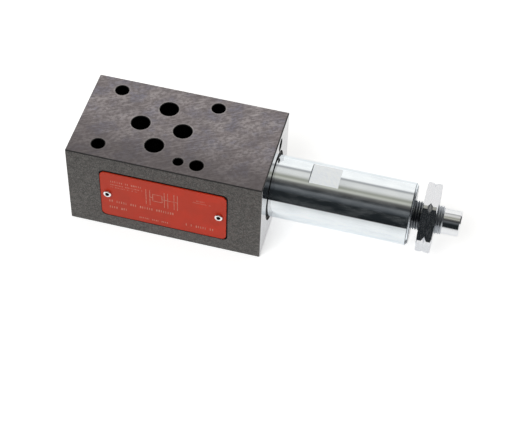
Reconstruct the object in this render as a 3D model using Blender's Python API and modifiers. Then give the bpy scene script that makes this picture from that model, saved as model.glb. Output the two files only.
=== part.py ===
"""Hydraulic sandwich valve: a ported steel block with an adjustable screw-in relief cartridge.

Metres, +Z up. The origin lies on the block's underside, in the middle of the port pattern. The
name plate faces -Y and the cartridge points along +X.
"""

import math

import bmesh
import bpy
from mathutils import Vector

MM = 0.001

# Clearances between neighbours
SEAT_GAP = 0.3 * MM      # faces that touch, and threads drawn as plain cylinders
SLIDE_GAP = 0.2 * MM     # round pieces that slide in a bore
SEAL_GAP = 0.1 * MM      # round a squeezed seal ring

# Valve block
BLOCK_LENGTH = 80.0 * MM
BLOCK_WIDTH = 44.5 * MM
BLOCK_HEIGHT = 40.0 * MM
BLOCK_CHAMFER = 0.4 * MM
END_FACE_X = 47.1 * MM    # from the port pattern's middle to the cartridge's end face
MIDDLE_Y = -0.25 * MM     # the block's and the cartridge's middle plane

# Standard size 03 hole pattern, from the middle of the four ports
PORT_DIAMETER = 7.6 * MM
PORT_P_T_Y = 10.4 * MM
PORT_A_X = 8.8 * MM
PORT_B_X = 8.7 * MM
BOLT_DIAMETER = 5.5 * MM
BOLT_LEFT_X = 21.5 * MM
BOLT_LEFT_Y = 15.5 * MM
BOLT_RIGHT_X = 19.0 * MM
BOLT_RIGHT_Y = 16.25 * MM
PIN_HOLE_DIAMETER = 4.0 * MM
PIN_HOLE_DEPTH = 5.0 * MM
PIN_HOLE_X = 11.5 * MM
PIN_HOLE_Y = 16.25 * MM
HOLE_EDGE = 0.25 * MM     # broken edge at every hole's mouth

# Face seals in the underside
PORT_SEAL_RECESS_DIAMETER = 12.6 * MM
PORT_SEAL_RECESS_DEPTH = 1.35 * MM
PORT_SEAL_WIDTH = 1.9 * MM

# Cartridge cavity, stepped from port B outwards
CAVITY_WALL = 2.7 * MM    # between port B and the cavity's bottom
NOSE_BORE_RADIUS = 7.8 * MM
NOSE_BORE_DEPTH = 8.0 * MM
TANK_CHAMBER_RADIUS = 12.4 * MM
TANK_CHAMBER_LENGTH = 8.5 * MM
THREAD_RADIUS = 11.0 * MM
SHOULDER_RECESS_DEPTH = 2.4 * MM

# Drillings
PRESSURE_DRILLING_DIAMETER = 3.2 * MM
PRESSURE_DRILLING_OFFSET = 5.8 * MM    # off the cartridge's axis, at the cavity's bottom
GALLERY_DIAMETER = 5.2 * MM
GALLERY_UNDER_TOP = 4.5 * MM           # from the top face down to the gallery's axis
GALLERY_INSET = 2.7 * MM               # from port T's middle towards the block's middle
TANK_DRILLING_DIAMETER = 4.0 * MM

# Plug in the gallery's mouth
PLUG_SINK = 4.0 * MM
PLUG_LENGTH = 5.0 * MM
PLUG_WALL = 0.7 * MM

# Name plate
PLATE_LENGTH = 52.2 * MM
PLATE_HEIGHT = 25.1 * MM
PLATE_THICKNESS = 0.5 * MM
PLATE_CORNER = 2.2 * MM
POCKET_DEPTH = 0.8 * MM
POCKET_SIDE_MARGIN = 0.4 * MM    # at each end of a centred plate
POCKET_TOP_MARGIN = 0.8 * MM     # above and below a centred plate
POCKET_DROP = 0.45 * MM          # from the cartridge's axis down to the pocket's middle
PLATE_SHIFT = 0.3 * MM           # the plate lies off the pocket's middle, towards -X
PLATE_DROP = 0.7 * MM            # and down from it
RIVET_EDGE = 3.0 * MM     # from the plate's end to the rivet's middle
RIVET_HEAD_DIAMETER = 3.3 * MM
RIVET_HEAD_HEIGHT = 0.8 * MM
RIVET_SHANK_DIAMETER = 2.2 * MM
RIVET_SHANK_LENGTH = 4.0 * MM
RIVET_HOLLOW_DIAMETER = 1.5 * MM

# Cartridge barrel
BARREL_RADIUS = 12.7 * MM
BARREL_LENGTH = 57.1 * MM    # stands out of the block's end face
BARREL_CHAMFER = 0.8 * MM
FLAT_START = 14.6 * MM       # from the block's end face
FLAT_LENGTH = 12.0 * MM
FLAT_ACROSS = 23.2 * MM
SPRING_BORE_RADIUS = 8.2 * MM
END_WALL = 6.2 * MM

# Seat sleeve
INLET_LENGTH = 2.4 * MM      # free space between the cavity's bottom and the sleeve's nose
SEAT_BORE_RADIUS = 2.6 * MM
SEAT_BORE_LENGTH = 5.0 * MM
VALVE_CHAMBER_RADIUS = 4.6 * MM
SLEEVE_WAIST_RADIUS = 6.6 * MM
SLEEVE_FLANGE_RADIUS = 10.3 * MM
SLEEVE_FLANGE_LENGTH = 1.6 * MM
SLEEVE_TAIL_LENGTH = 6.2 * MM
SLEEVE_TAIL_RADIUS = 8.9 * MM
OUTLET_DIAMETER = 3.0 * MM
OUTLET_COUNT = 6

# Seal rings
SEAL_SECTION = 1.5 * MM
BACKUP_THICKNESS = 0.8 * MM
SHOULDER_SEAL_SECTION = 1.6 * MM
GROOVE_LIP = 1.0 * MM        # solid rim on each side of a seal groove

# Poppet, spring and spring plates
POPPET_TIP_RADIUS = 0.9 * MM
POPPET_CONE_RADIUS = 3.8 * MM
POPPET_NECK_RADIUS = 2.2 * MM
POPPET_NECK_LENGTH = 7.0 * MM
STEM_RADIUS = 2.2 * MM
STEM_LENGTH = 4.5 * MM
SPRING_DISC_RADIUS = 7.4 * MM
SPRING_DISC_THICKNESS = 2.0 * MM
SPRING_HUB_RADIUS = 4.2 * MM
SPRING_HUB_LENGTH = 4.0 * MM
SPRING_WIRE = 3.0 * MM
SPRING_SIDE_GAP = 0.4 * MM   # between the spring and the barrel's bore
SPRING_TURNS = 8
REAR_PLATE_LENGTH = 9.0 * MM
REAR_DISC_THICKNESS = 3.0 * MM
SCREW_SEAT_RADIUS = 3.2 * MM
SCREW_SEAT_DEPTH = 1.0 * MM
BACK_TRAVEL = 4.0 * MM       # free way behind the rear plate, for a slacker spring

# Adjusting screw and lock nut
SCREW_RADIUS = 5.9 * MM
SCREW_NECK_LENGTH = 3.0 * MM
SCREW_NECK_UNDERCUT = 0.8 * MM
NUT_STANDOFF = 3.4 * MM      # from the barrel's end to the nut
NUT_THICKNESS = 5.9 * MM
NUT_ACROSS = 25.4 * MM
NUT_TURN = math.radians(25.5)    # a corner's angle from straight up towards the name plate
NUT_CORNER_RADIUS = 14.3 * MM    # the corners are turned off to this radius
NUT_CORNER_CHAMFER = 0.65 * MM
NUT_NOTCH_WIDTH = 2.0 * MM
NUT_NOTCH_DEPTH = 0.75 * MM
THREAD_BEYOND_NUT = 3.0 * MM
SPINDLE_LENGTH = 6.8 * MM
SPINDLE_RADIUS = 5.15 * MM
SPINDLE_CHAMFER = 0.5 * MM
SOCKET_ACROSS = 5.0 * MM
SOCKET_DEPTH = 6.0 * MM

# Facets round a full circle
FINE = 48
MEDIUM = 32
COARSE = 20

# Heights and stations worked out from the sizes above
BLOCK_MIDDLE_X = END_FACE_X - BLOCK_LENGTH / 2
FRONT_Y = MIDDLE_Y - BLOCK_WIDTH / 2
AXIS_Z = BLOCK_HEIGHT / 2
PORT_RADIUS = PORT_DIAMETER / 2
PORTS = {
    "p": (0.0, -PORT_P_T_Y),
    "t": (0.0, PORT_P_T_Y),
    "a": (-PORT_A_X, 0.0),
    "b": (PORT_B_X, 0.0),
}
BOLTS = {
    "back_left": (-BOLT_LEFT_X, BOLT_LEFT_Y),
    "front_left": (-BOLT_LEFT_X, -BOLT_LEFT_Y),
    "back_right": (BOLT_RIGHT_X, BOLT_RIGHT_Y),
    "front_right": (BOLT_RIGHT_X, -BOLT_RIGHT_Y),
}
CAVITY_X = PORT_B_X + PORT_RADIUS + CAVITY_WALL
NOSE_END_X = CAVITY_X + NOSE_BORE_DEPTH
TANK_END_X = NOSE_END_X + TANK_CHAMBER_LENGTH
SHOULDER_X = END_FACE_X - SHOULDER_RECESS_DEPTH
SHOULDER_RECESS_RADIUS = BARREL_RADIUS + SHOULDER_SEAL_SECTION + 2 * SEAL_GAP
GALLERY_Y = PORT_P_T_Y - GALLERY_INSET
GALLERY_Z = BLOCK_HEIGHT - GALLERY_UNDER_TOP
BARREL_END_X = END_FACE_X + BARREL_LENGTH
SPRING_BORE_END_X = BARREL_END_X - END_WALL
SHANK_X = TANK_END_X + SEAT_GAP
REAR_PLATE_BACK_X = SPRING_BORE_END_X - BACK_TRAVEL
REAR_PLATE_FRONT_X = REAR_PLATE_BACK_X - REAR_PLATE_LENGTH
SCREW_TIP_X = REAR_PLATE_BACK_X - SCREW_SEAT_DEPTH + SEAT_GAP
NUT_X = BARREL_END_X + NUT_STANDOFF
THREAD_END_X = NUT_X + NUT_THICKNESS + THREAD_BEYOND_NUT
SCREW_END_X = THREAD_END_X + SPINDLE_LENGTH
PLATE_HALF = PLATE_LENGTH / 2


# Scene, collections and materials

for old in list(bpy.data.objects):
    bpy.data.objects.remove(old, do_unlink=True)

parts = bpy.data.collections.new("hydraulic_sandwich_valve")
cutters = bpy.data.collections.new("cutters")
for collection in (parts, cutters):
    bpy.context.scene.collection.children.link(collection)


def material(name, colour, roughness, metallic):
    """A Principled material in one colour."""
    made = bpy.data.materials.new(name)
    made.use_nodes = True
    shader = made.node_tree.nodes["Principled BSDF"]
    shader.inputs["Base Color"].default_value = (*colour, 1.0)
    shader.inputs["Roughness"].default_value = roughness
    shader.inputs["Metallic"].default_value = metallic
    return made


BLACKENED_STEEL = material("blackened_steel", (0.16, 0.15, 0.145), 0.5, 0.6)
PLATED_STEEL = material("plated_steel", (0.78, 0.79, 0.80), 0.18, 1.0)
MACHINED_STEEL = material("machined_steel", (0.55, 0.55, 0.54), 0.35, 1.0)
SPRING_STEEL = material("spring_steel", (0.32, 0.31, 0.30), 0.4, 1.0)
BLACK_RUBBER = material("black_rubber", (0.02, 0.02, 0.02), 0.6, 0.0)
WHITE_PTFE = material("white_ptfe", (0.75, 0.74, 0.70), 0.5, 0.0)
ORANGE_ENAMEL = material("orange_enamel", (0.52, 0.07, 0.035), 0.45, 0.2)
BRIGHT_ALUMINIUM = material("bright_aluminium", (0.85, 0.85, 0.84), 0.3, 1.0)


def place(thing, name, collection):
    """Name a new object and keep it in one collection only."""
    thing.name = name
    for old_home in list(thing.users_collection):
        old_home.objects.unlink(thing)
    collection.objects.link(thing)
    if collection == cutters:
        thing.hide_render = True
        thing.display_type = "WIRE"
    return thing


def finish(thing, look, smooth=True):
    """Give a piece its material, and smooth shading where it is round."""
    thing.data.materials.clear()
    thing.data.materials.append(look)
    if smooth:
        thing.data.shade_smooth()
        thing.data.set_sharp_from_angle(angle=math.radians(30))
    return thing


def apply_scale(thing):
    """Move the object's scale into its mesh."""
    for vertex in thing.data.vertices:
        vertex.co = Vector(a * b for a, b in zip(vertex.co, thing.scale))
    thing.scale = (1.0, 1.0, 1.0)


def box(name, low, high, collection=cutters):
    """A box between two corners."""
    bpy.ops.mesh.primitive_cube_add(size=1.0)
    thing = place(bpy.context.object, name, collection)
    thing.location = [(a + b) / 2 for a, b in zip(low, high)]
    thing.scale = [b - a for a, b in zip(low, high)]
    apply_scale(thing)
    return thing


def rod(name, radius, start, end, facets=COARSE, collection=cutters, turn=0.0):
    """A cylinder from one point to another."""
    start, end = Vector(start), Vector(end)
    along = end - start
    bpy.ops.mesh.primitive_cylinder_add(vertices=facets, radius=radius, depth=along.length)
    thing = place(bpy.context.object, name, collection)
    thing.location = (start + end) / 2
    thing.rotation_mode = "QUATERNION"
    thing.rotation_quaternion = along.to_track_quat("Z", "Y")
    if turn:
        for vertex in thing.data.vertices:
            x, y, _ = vertex.co
            vertex.co.x = x * math.cos(turn) - y * math.sin(turn)
            vertex.co.y = x * math.sin(turn) + y * math.cos(turn)
    return thing


def turned(name, profile, where, axis, facets=MEDIUM, collection=parts, ring=False):
    """A turned piece. Its profile of (radius, station) pairs runs back along the axis.

    Stations count along the axis from the point where, and fall from the first pair to the last
    one down the outer side. A ring's profile goes on up its bore and closes.
    """
    mesh = bpy.data.meshes.new(name)
    count = len(profile)
    edges = [(i, i + 1) for i in range(count - 1)]
    if ring:
        edges.append((count - 1, 0))
    mesh.from_pydata([(radius, 0.0, station) for radius, station in profile], edges, [])
    thing = place(bpy.data.objects.new(name, mesh), name, collection)
    thing.location = where
    thing.rotation_mode = "QUATERNION"
    thing.rotation_quaternion = Vector(axis).to_track_quat("Z", "Y")
    screw = thing.modifiers.new("Turn", "SCREW")
    screw.axis = "Z"
    screw.angle = math.tau
    screw.steps = facets
    screw.render_steps = facets
    screw.use_merge_vertices = True
    screw.merge_threshold = 0.000001
    screw.use_smooth_shade = False
    return thing


def smooth_turned(thing, look):
    """Finish a turned piece: its faces come from the Screw modifier, so that is what is smoothed."""
    thing.data.materials.append(look)
    thing.modifiers["Turn"].use_smooth_shade = True
    return thing


def cut(thing, *tools, operation="DIFFERENCE"):
    """Cut a piece with each tool in turn, or keep what it shares with them."""
    for tool in tools:
        boolean = thing.modifiers.new(tool.name, "BOOLEAN")
        boolean.operation = operation
        boolean.solver = "EXACT"
        boolean.object = tool


def rounded_slab(name, length, height, thickness, corner, middle, collection):
    """A slab in the XZ plane with round corners, centred on a point."""
    mesh = bpy.data.meshes.new(name)
    shape = bmesh.new()
    bmesh.ops.create_cube(shape, size=1.0)
    bmesh.ops.scale(shape, vec=(length, thickness, height), verts=shape.verts)
    corners = [e for e in shape.edges if abs((e.verts[0].co - e.verts[1].co).y) > thickness / 2]
    bmesh.ops.bevel(
        shape, geom=corners, offset=corner, segments=5, profile=0.5, affect="EDGES", clamp_overlap=True
    )
    shape.to_mesh(mesh)
    shape.free()
    thing = place(bpy.data.objects.new(name, mesh), name, collection)
    thing.location = middle
    return thing


AXIS_START = Vector((0.0, MIDDLE_Y, AXIS_Z))    # the cartridge's axis, at the ports' middle


def on_axis(x):
    """A point on the cartridge's axis."""
    return AXIS_START + Vector((x, 0.0, 0.0))


def cartridge_piece(name, profile, look, facets=MEDIUM, ring=False, rim=0.0):
    """A piece turned about the cartridge's axis, with stations in row coordinates.

    rim is the station that the object's origin is set on.
    """
    shifted = [(radius, station - rim) for radius, station in profile]
    thing = turned(name, shifted, on_axis(rim), (1, 0, 0), facets=facets, ring=ring)
    return smooth_turned(thing, look)


def seal_ring(name, inner, outer, x, look=BLACK_RUBBER, facets=COARSE):
    """A round-section seal about the cartridge's axis, between two radii and centred at x."""
    bpy.ops.mesh.primitive_torus_add(
        major_segments=facets,
        minor_segments=8,
        major_radius=(inner + outer) / 2,
        minor_radius=(outer - inner) / 2,
    )
    thing = place(bpy.context.object, name, parts)
    thing.location = on_axis(x)
    thing.rotation_euler = (0.0, math.pi / 2, 0.0)
    return finish(thing, look)


def square_ring(name, inner, outer, x, width, look):
    """A square-section ring about the cartridge's axis, centred at x."""
    profile = [
        (outer, x + width / 2),
        (outer, x - width / 2),
        (inner, x - width / 2),
        (inner, x + width / 2),
    ]
    return cartridge_piece(name, profile, look, facets=COARSE, ring=True)


# Valve block: a steel bar with broken edges, then every hole as a cutter

block = box(
    "valve_block",
    (BLOCK_MIDDLE_X - BLOCK_LENGTH / 2, FRONT_Y, 0.0),
    (BLOCK_MIDDLE_X + BLOCK_LENGTH / 2, FRONT_Y + BLOCK_WIDTH, BLOCK_HEIGHT),
    parts,
)
edges = block.modifiers.new("Broken edges", "BEVEL")
edges.width = BLOCK_CHAMFER
edges.segments = 1
edges.limit_method = "ANGLE"

OVERSHOOT = 1.0 * MM    # how far a cutter runs past the face that it opens


def mouth(radius, face, outwards):
    """Profile of a hole's broken edge, from its mouth at one face down into the bore."""
    return [
        (radius + HOLE_EDGE + OVERSHOOT, face + outwards * OVERSHOOT),
        (radius, face - outwards * HOLE_EDGE),
    ]


for label, (x, y) in PORTS.items():
    recess = PORT_SEAL_RECESS_DIAMETER / 2
    profile = [(0.0, BLOCK_HEIGHT + OVERSHOOT)]
    profile += mouth(PORT_RADIUS, BLOCK_HEIGHT, 1)
    profile += [
        (PORT_RADIUS, PORT_SEAL_RECESS_DEPTH),
        (recess, PORT_SEAL_RECESS_DEPTH),
        (recess, -OVERSHOOT),
        (0.0, -OVERSHOOT),
    ]
    cut(block, turned(f"port_{label}_cutter", profile, (x, y, 0.0), (0, 0, 1), MEDIUM, cutters))

for label, (x, y) in BOLTS.items():
    bolt = BOLT_DIAMETER / 2
    profile = [(0.0, BLOCK_HEIGHT + OVERSHOOT)]
    profile += mouth(bolt, BLOCK_HEIGHT, 1)
    profile += mouth(bolt, 0.0, -1)[::-1]
    profile += [(0.0, -OVERSHOOT)]
    cut(block, turned(f"bolt_{label}_cutter", profile, (x, y, 0.0), (0, 0, 1), COARSE, cutters))

pin = PIN_HOLE_DIAMETER / 2
pin_point = (PIN_HOLE_X, -PIN_HOLE_Y, 0.0)
top_pin = [(0.0, BLOCK_HEIGHT + OVERSHOOT)] + mouth(pin, BLOCK_HEIGHT, 1)
top_pin += [(pin, BLOCK_HEIGHT - PIN_HOLE_DEPTH), (0.0, BLOCK_HEIGHT - PIN_HOLE_DEPTH - pin / 2)]
bottom_pin = [(0.0, PIN_HOLE_DEPTH + pin / 2), (pin, PIN_HOLE_DEPTH)]
bottom_pin += mouth(pin, 0.0, -1)[::-1] + [(0.0, -OVERSHOOT)]
cut(block, turned("top_pin_hole_cutter", top_pin, pin_point, (0, 0, 1), COARSE, cutters))
cut(block, turned("bottom_pin_hole_cutter", bottom_pin, pin_point, (0, 0, 1), COARSE, cutters))

# Cartridge cavity: seal recess, threaded bore, tank chamber and nose bore
cavity = [
    (0.0, END_FACE_X + OVERSHOOT),
    (SHOULDER_RECESS_RADIUS, END_FACE_X + OVERSHOOT),
    (SHOULDER_RECESS_RADIUS, SHOULDER_X),
    (THREAD_RADIUS, SHOULDER_X),
    (THREAD_RADIUS, TANK_END_X),
    (TANK_CHAMBER_RADIUS, TANK_END_X),
    (TANK_CHAMBER_RADIUS, NOSE_END_X),
    (NOSE_BORE_RADIUS, NOSE_END_X),
    (NOSE_BORE_RADIUS, CAVITY_X),
    (0.0, CAVITY_X),
]
cut(block, turned("cavity_cutter", cavity, AXIS_START, (1, 0, 0), FINE, cutters))

# Pressure drilling, from the nose bore past port B into port P
pressure_start = on_axis(CAVITY_X + PRESSURE_DRILLING_DIAMETER / 2)
pressure_start.y -= PRESSURE_DRILLING_OFFSET
pressure_end = Vector((0.0, -PORT_P_T_Y, AXIS_Z))
cut(block, rod("pressure_drilling_cutter", PRESSURE_DRILLING_DIAMETER / 2, pressure_start, pressure_end))

# Tank gallery from the end face into port T, and the slanted drilling up to it
gallery_radius = GALLERY_DIAMETER / 2
gallery_end = Vector((0.0, GALLERY_Y, GALLERY_Z))
gallery_profile = [(0.0, END_FACE_X + OVERSHOOT)]
gallery_profile += mouth(gallery_radius, END_FACE_X, 1)
gallery_profile += [(gallery_radius, 0.0), (0.0, 0.0)]
cut(block, turned("gallery_cutter", gallery_profile, gallery_end, (1, 0, 0), COARSE, cutters))
tank_start = on_axis((NOSE_END_X + TANK_END_X) / 2)
tank_end = Vector((tank_start.x, GALLERY_Y, GALLERY_Z))
cut(block, rod("tank_drilling_cutter", TANK_DRILLING_DIAMETER / 2, tank_start, tank_end))

# Pocket for the name plate, and its rivet holes
pocket_middle = Vector((BLOCK_MIDDLE_X, FRONT_Y, AXIS_Z - POCKET_DROP))
plate_middle = pocket_middle - Vector((PLATE_SHIFT, 0.0, PLATE_DROP))
pocket = rounded_slab(
    "plate_pocket_cutter",
    PLATE_LENGTH + 2 * POCKET_SIDE_MARGIN,
    PLATE_HEIGHT + 2 * POCKET_TOP_MARGIN,
    2 * POCKET_DEPTH,
    PLATE_CORNER,
    pocket_middle,
    cutters,
)
cut(block, pocket)
PLATE_BACK_Y = FRONT_Y + POCKET_DEPTH - SEAL_GAP
PLATE_FRONT_Y = PLATE_BACK_Y - PLATE_THICKNESS
RIVETS = {
    "left": plate_middle.x - PLATE_HALF + RIVET_EDGE,
    "right": plate_middle.x + PLATE_HALF - RIVET_EDGE,
}
rivet_hole = RIVET_SHANK_DIAMETER / 2 + SEAL_GAP
for side, x in RIVETS.items():
    start = (x, PLATE_BACK_Y - OVERSHOOT, pocket_middle.z)
    end = (x, PLATE_FRONT_Y + RIVET_SHANK_LENGTH + SEAT_GAP, pocket_middle.z)
    cut(block, rod(f"rivet_{side}_block_cutter", rivet_hole, start, end, 16))
finish(block, BLACKENED_STEEL)

# Name plate with its two rivets
plate = rounded_slab(
    "name_plate",
    PLATE_LENGTH,
    PLATE_HEIGHT,
    PLATE_THICKNESS,
    PLATE_CORNER,
    (plate_middle.x, (PLATE_BACK_Y + PLATE_FRONT_Y) / 2, plate_middle.z),
    parts,
)
for side, x in RIVETS.items():
    start = (x, PLATE_FRONT_Y - OVERSHOOT, pocket_middle.z)
    end = (x, PLATE_BACK_Y + OVERSHOOT, pocket_middle.z)
    cut(plate, rod(f"rivet_{side}_plate_cutter", rivet_hole, start, end, 16))
finish(plate, ORANGE_ENAMEL)

head = RIVET_HEAD_DIAMETER / 2
shank = RIVET_SHANK_DIAMETER / 2
hollow = RIVET_HOLLOW_DIAMETER / 2
rivet_profile = [
    (0.0, -RIVET_SHANK_LENGTH * 0.8),
    (hollow, -RIVET_SHANK_LENGTH * 0.8),
    (hollow, RIVET_HEAD_HEIGHT * 0.8),
    (hollow + 0.2 * MM, RIVET_HEAD_HEIGHT),
    (head - RIVET_HEAD_HEIGHT / 2, RIVET_HEAD_HEIGHT),
    (head - RIVET_HEAD_HEIGHT / 6, RIVET_HEAD_HEIGHT * 0.75),
    (head, RIVET_HEAD_HEIGHT * 0.35),
    (head, 0.0),
    (shank, 0.0),
    (shank, -RIVET_SHANK_LENGTH),
    (0.0, -RIVET_SHANK_LENGTH),
]
for side, x in RIVETS.items():
    seat = (x, PLATE_FRONT_Y - SEAL_GAP, pocket_middle.z)
    rivet = turned(f"plate_rivet_{side}", rivet_profile, seat, (0, -1, 0), 20)
    smooth_turned(rivet, BRIGHT_ALUMINIUM)

# Face seals, squeezed level with the underside
seal_outer = PORT_SEAL_RECESS_DIAMETER / 2 - SEAL_GAP
seal_middle = seal_outer - PORT_SEAL_WIDTH / 2
seal_half = (PORT_SEAL_RECESS_DEPTH - SEAL_GAP) / 2
seal_profile = []
for i in range(8):
    angle = math.tau * (i + 0.5) / 8
    radius = seal_middle + PORT_SEAL_WIDTH / 2 * math.sin(angle)
    seal_profile.append((radius, seal_half + seal_half * math.cos(angle)))
for label, (x, y) in PORTS.items():
    ring = turned(f"port_o_ring_{label}", seal_profile, (x, y, 0.0), (0, 0, 1), COARSE, ring=True)
    smooth_turned(ring, BLACK_RUBBER)

# Expanding plug: a cup pressed into the gallery's mouth, with a ball driven into the cup
plug_outer = gallery_radius - SEAL_GAP
plug_bore = plug_outer - PLUG_WALL
plug_front = END_FACE_X - PLUG_SINK
plug_profile = [
    (0.0, plug_front - PLUG_LENGTH + PLUG_WALL),
    (plug_bore, plug_front - PLUG_LENGTH + PLUG_WALL),
    (plug_bore, plug_front),
    (plug_outer, plug_front),
    (plug_outer, plug_front - PLUG_LENGTH),
    (0.0, plug_front - PLUG_LENGTH),
]
plug = turned("plug_sleeve", plug_profile, gallery_end, (1, 0, 0), COARSE)
smooth_turned(plug, MACHINED_STEEL)
ball_radius = plug_bore - SEAL_GAP
bpy.ops.mesh.primitive_uv_sphere_add(segments=16, ring_count=8, radius=ball_radius)
ball = place(bpy.context.object, "plug_ball", parts)
ball.location = gallery_end + Vector((plug_front - ball_radius - SEAT_GAP, 0.0, 0.0))
finish(ball, MACHINED_STEEL)

# Cartridge barrel: shank in the block, shoulder on the recess floor, bore for the spring
shank_radius = THREAD_RADIUS - SEAT_GAP
shank_bore = SLEEVE_TAIL_RADIUS + SEAT_GAP
screw_hole = SCREW_RADIUS + SEAT_GAP
sleeve_tail_end = SHANK_X + SLEEVE_TAIL_LENGTH
barrel_profile = [
    (screw_hole, SPRING_BORE_END_X),
    (screw_hole, BARREL_END_X - BARREL_CHAMFER / 2),
    (screw_hole + BARREL_CHAMFER / 2, BARREL_END_X),
    (BARREL_RADIUS - BARREL_CHAMFER, BARREL_END_X),
    (BARREL_RADIUS, BARREL_END_X - BARREL_CHAMFER),
    (BARREL_RADIUS, SHOULDER_X + SEAT_GAP),
    (shank_radius, SHOULDER_X + SEAT_GAP),
    (shank_radius, SHANK_X),
    (shank_bore, SHANK_X),
    (shank_bore, sleeve_tail_end + SEAT_GAP),
    (SPRING_BORE_RADIUS, sleeve_tail_end + SEAT_GAP),
    (SPRING_BORE_RADIUS, SPRING_BORE_END_X),
]
barrel = cartridge_piece("cartridge_housing", barrel_profile, PLATED_STEEL, FINE, ring=True)
flat_from = END_FACE_X + FLAT_START
for label, side in (("upper", 1), ("lower", -1)):
    near = AXIS_Z + side * FLAT_ACROSS / 2
    far = AXIS_Z + side * (BARREL_RADIUS + OVERSHOOT)
    low = (flat_from, MIDDLE_Y - BARREL_RADIUS, min(near, far))
    high = (flat_from + FLAT_LENGTH, MIDDLE_Y + BARREL_RADIUS, max(near, far))
    cut(barrel, box(f"{label}_flat_cutter", low, high))

shoulder_middle = END_FACE_X - SHOULDER_RECESS_DEPTH / 2 + SEAL_GAP
seal_ring(
    "shoulder_o_ring",
    BARREL_RADIUS + SEAL_GAP,
    SHOULDER_RECESS_RADIUS - SEAL_GAP,
    shoulder_middle,
    facets=FINE,
)

# Seat sleeve: nose with its seal groove, waist with outlets, flange and threaded tail
sleeve_x = CAVITY_X + INLET_LENGTH
nose_radius = NOSE_BORE_RADIUS - SLIDE_GAP
groove_floor = NOSE_BORE_RADIUS - SEAL_SECTION - 2 * SEAL_GAP
groove_from = sleeve_x + GROOVE_LIP
groove_width = SEAL_SECTION + 2 * BACKUP_THICKNESS + 4 * SEAL_GAP
nose_to = groove_from + groove_width + GROOVE_LIP
flange_to = SHANK_X - SEAT_GAP
flange_from = flange_to - SLEEVE_FLANGE_LENGTH
seat_x = sleeve_x + SEAT_BORE_LENGTH
sleeve_profile = [
    (SEAT_BORE_RADIUS, seat_x),
    (VALVE_CHAMBER_RADIUS, seat_x),
    (VALVE_CHAMBER_RADIUS, sleeve_tail_end),
    (SLEEVE_TAIL_RADIUS, sleeve_tail_end),
    (SLEEVE_TAIL_RADIUS, flange_to),
    (SLEEVE_FLANGE_RADIUS, flange_to),
    (SLEEVE_FLANGE_RADIUS, flange_from),
    (SLEEVE_WAIST_RADIUS, flange_from),
    (SLEEVE_WAIST_RADIUS, nose_to),
    (nose_radius, nose_to),
    (nose_radius, groove_from + groove_width),
    (groove_floor, groove_from + groove_width),
    (groove_floor, groove_from),
    (nose_radius, groove_from),
    (nose_radius, sleeve_x + GROOVE_LIP / 2),
    (nose_radius - GROOVE_LIP / 2, sleeve_x),
    (SEAT_BORE_RADIUS, sleeve_x),
]
sleeve = cartridge_piece("seat_sleeve", sleeve_profile, MACHINED_STEEL, ring=True)
outlet_x = (max(nose_to, seat_x) + flange_from) / 2
for i in range(OUTLET_COUNT):
    angle = math.tau * i / OUTLET_COUNT
    outwards = Vector((0.0, math.cos(angle), math.sin(angle)))
    start = on_axis(outlet_x) + outwards * (VALVE_CHAMBER_RADIUS - OVERSHOOT)
    end = on_axis(outlet_x) + outwards * (SLEEVE_WAIST_RADIUS + OVERSHOOT)
    cut(sleeve, rod(f"outlet_{i + 1}_cutter", OUTLET_DIAMETER / 2, start, end, 12))

# Nose seal between its two back-up rings
ring_outer = NOSE_BORE_RADIUS - SEAL_GAP
ring_inner = groove_floor + SEAL_GAP
front_ring_x = groove_from + SEAL_GAP + BACKUP_THICKNESS / 2
nose_seal_x = groove_from + groove_width / 2
rear_ring_x = groove_from + groove_width - SEAL_GAP - BACKUP_THICKNESS / 2
square_ring("nose_backup_ring_front", ring_inner, ring_outer, front_ring_x, BACKUP_THICKNESS, WHITE_PTFE)
seal_ring("nose_o_ring", ring_inner, ring_outer, nose_seal_x)
square_ring("nose_backup_ring_rear", ring_inner, ring_outer, rear_ring_x, BACKUP_THICKNESS, WHITE_PTFE)

# Poppet: the cone closes the seat bore, the land slides in the sleeve, the stem holds the disc
disc_x = sleeve_tail_end + 2 * SEAT_GAP
land_to = disc_x - SEAT_GAP
cone_contact = seat_x + SEAL_GAP
cone_tip = cone_contact - (SEAT_BORE_RADIUS - POPPET_TIP_RADIUS)
cone_to = cone_contact + (POPPET_CONE_RADIUS - SEAT_BORE_RADIUS)
neck_to = cone_to + POPPET_NECK_LENGTH
land_radius = VALVE_CHAMBER_RADIUS - SLIDE_GAP
stem_to = land_to + STEM_LENGTH
poppet_profile = [
    (0.0, stem_to),
    (STEM_RADIUS, stem_to),
    (STEM_RADIUS, land_to),
    (land_radius, land_to),
    (land_radius, neck_to),
    (POPPET_NECK_RADIUS, neck_to),
    (POPPET_NECK_RADIUS, cone_to + POPPET_CONE_RADIUS - POPPET_NECK_RADIUS),
    (POPPET_CONE_RADIUS, cone_to),
    (POPPET_TIP_RADIUS, cone_tip),
    (0.0, cone_tip),
]
cartridge_piece("poppet", poppet_profile, MACHINED_STEEL, COARSE, rim=cone_contact)

# Front spring guide, carried on the poppet's stem
disc_back = disc_x + SPRING_DISC_THICKNESS
hub_to = disc_back + SPRING_HUB_LENGTH
stem_bore = STEM_RADIUS + SLIDE_GAP
front_guide_profile = [
    (stem_bore, hub_to),
    (SPRING_HUB_RADIUS, hub_to),
    (SPRING_HUB_RADIUS, disc_back),
    (SPRING_DISC_RADIUS, disc_back),
    (SPRING_DISC_RADIUS, disc_x),
    (stem_bore, disc_x),
]
cartridge_piece(
    "front_spring_guide", front_guide_profile, MACHINED_STEEL, COARSE, ring=True, rim=disc_x
)

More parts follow.
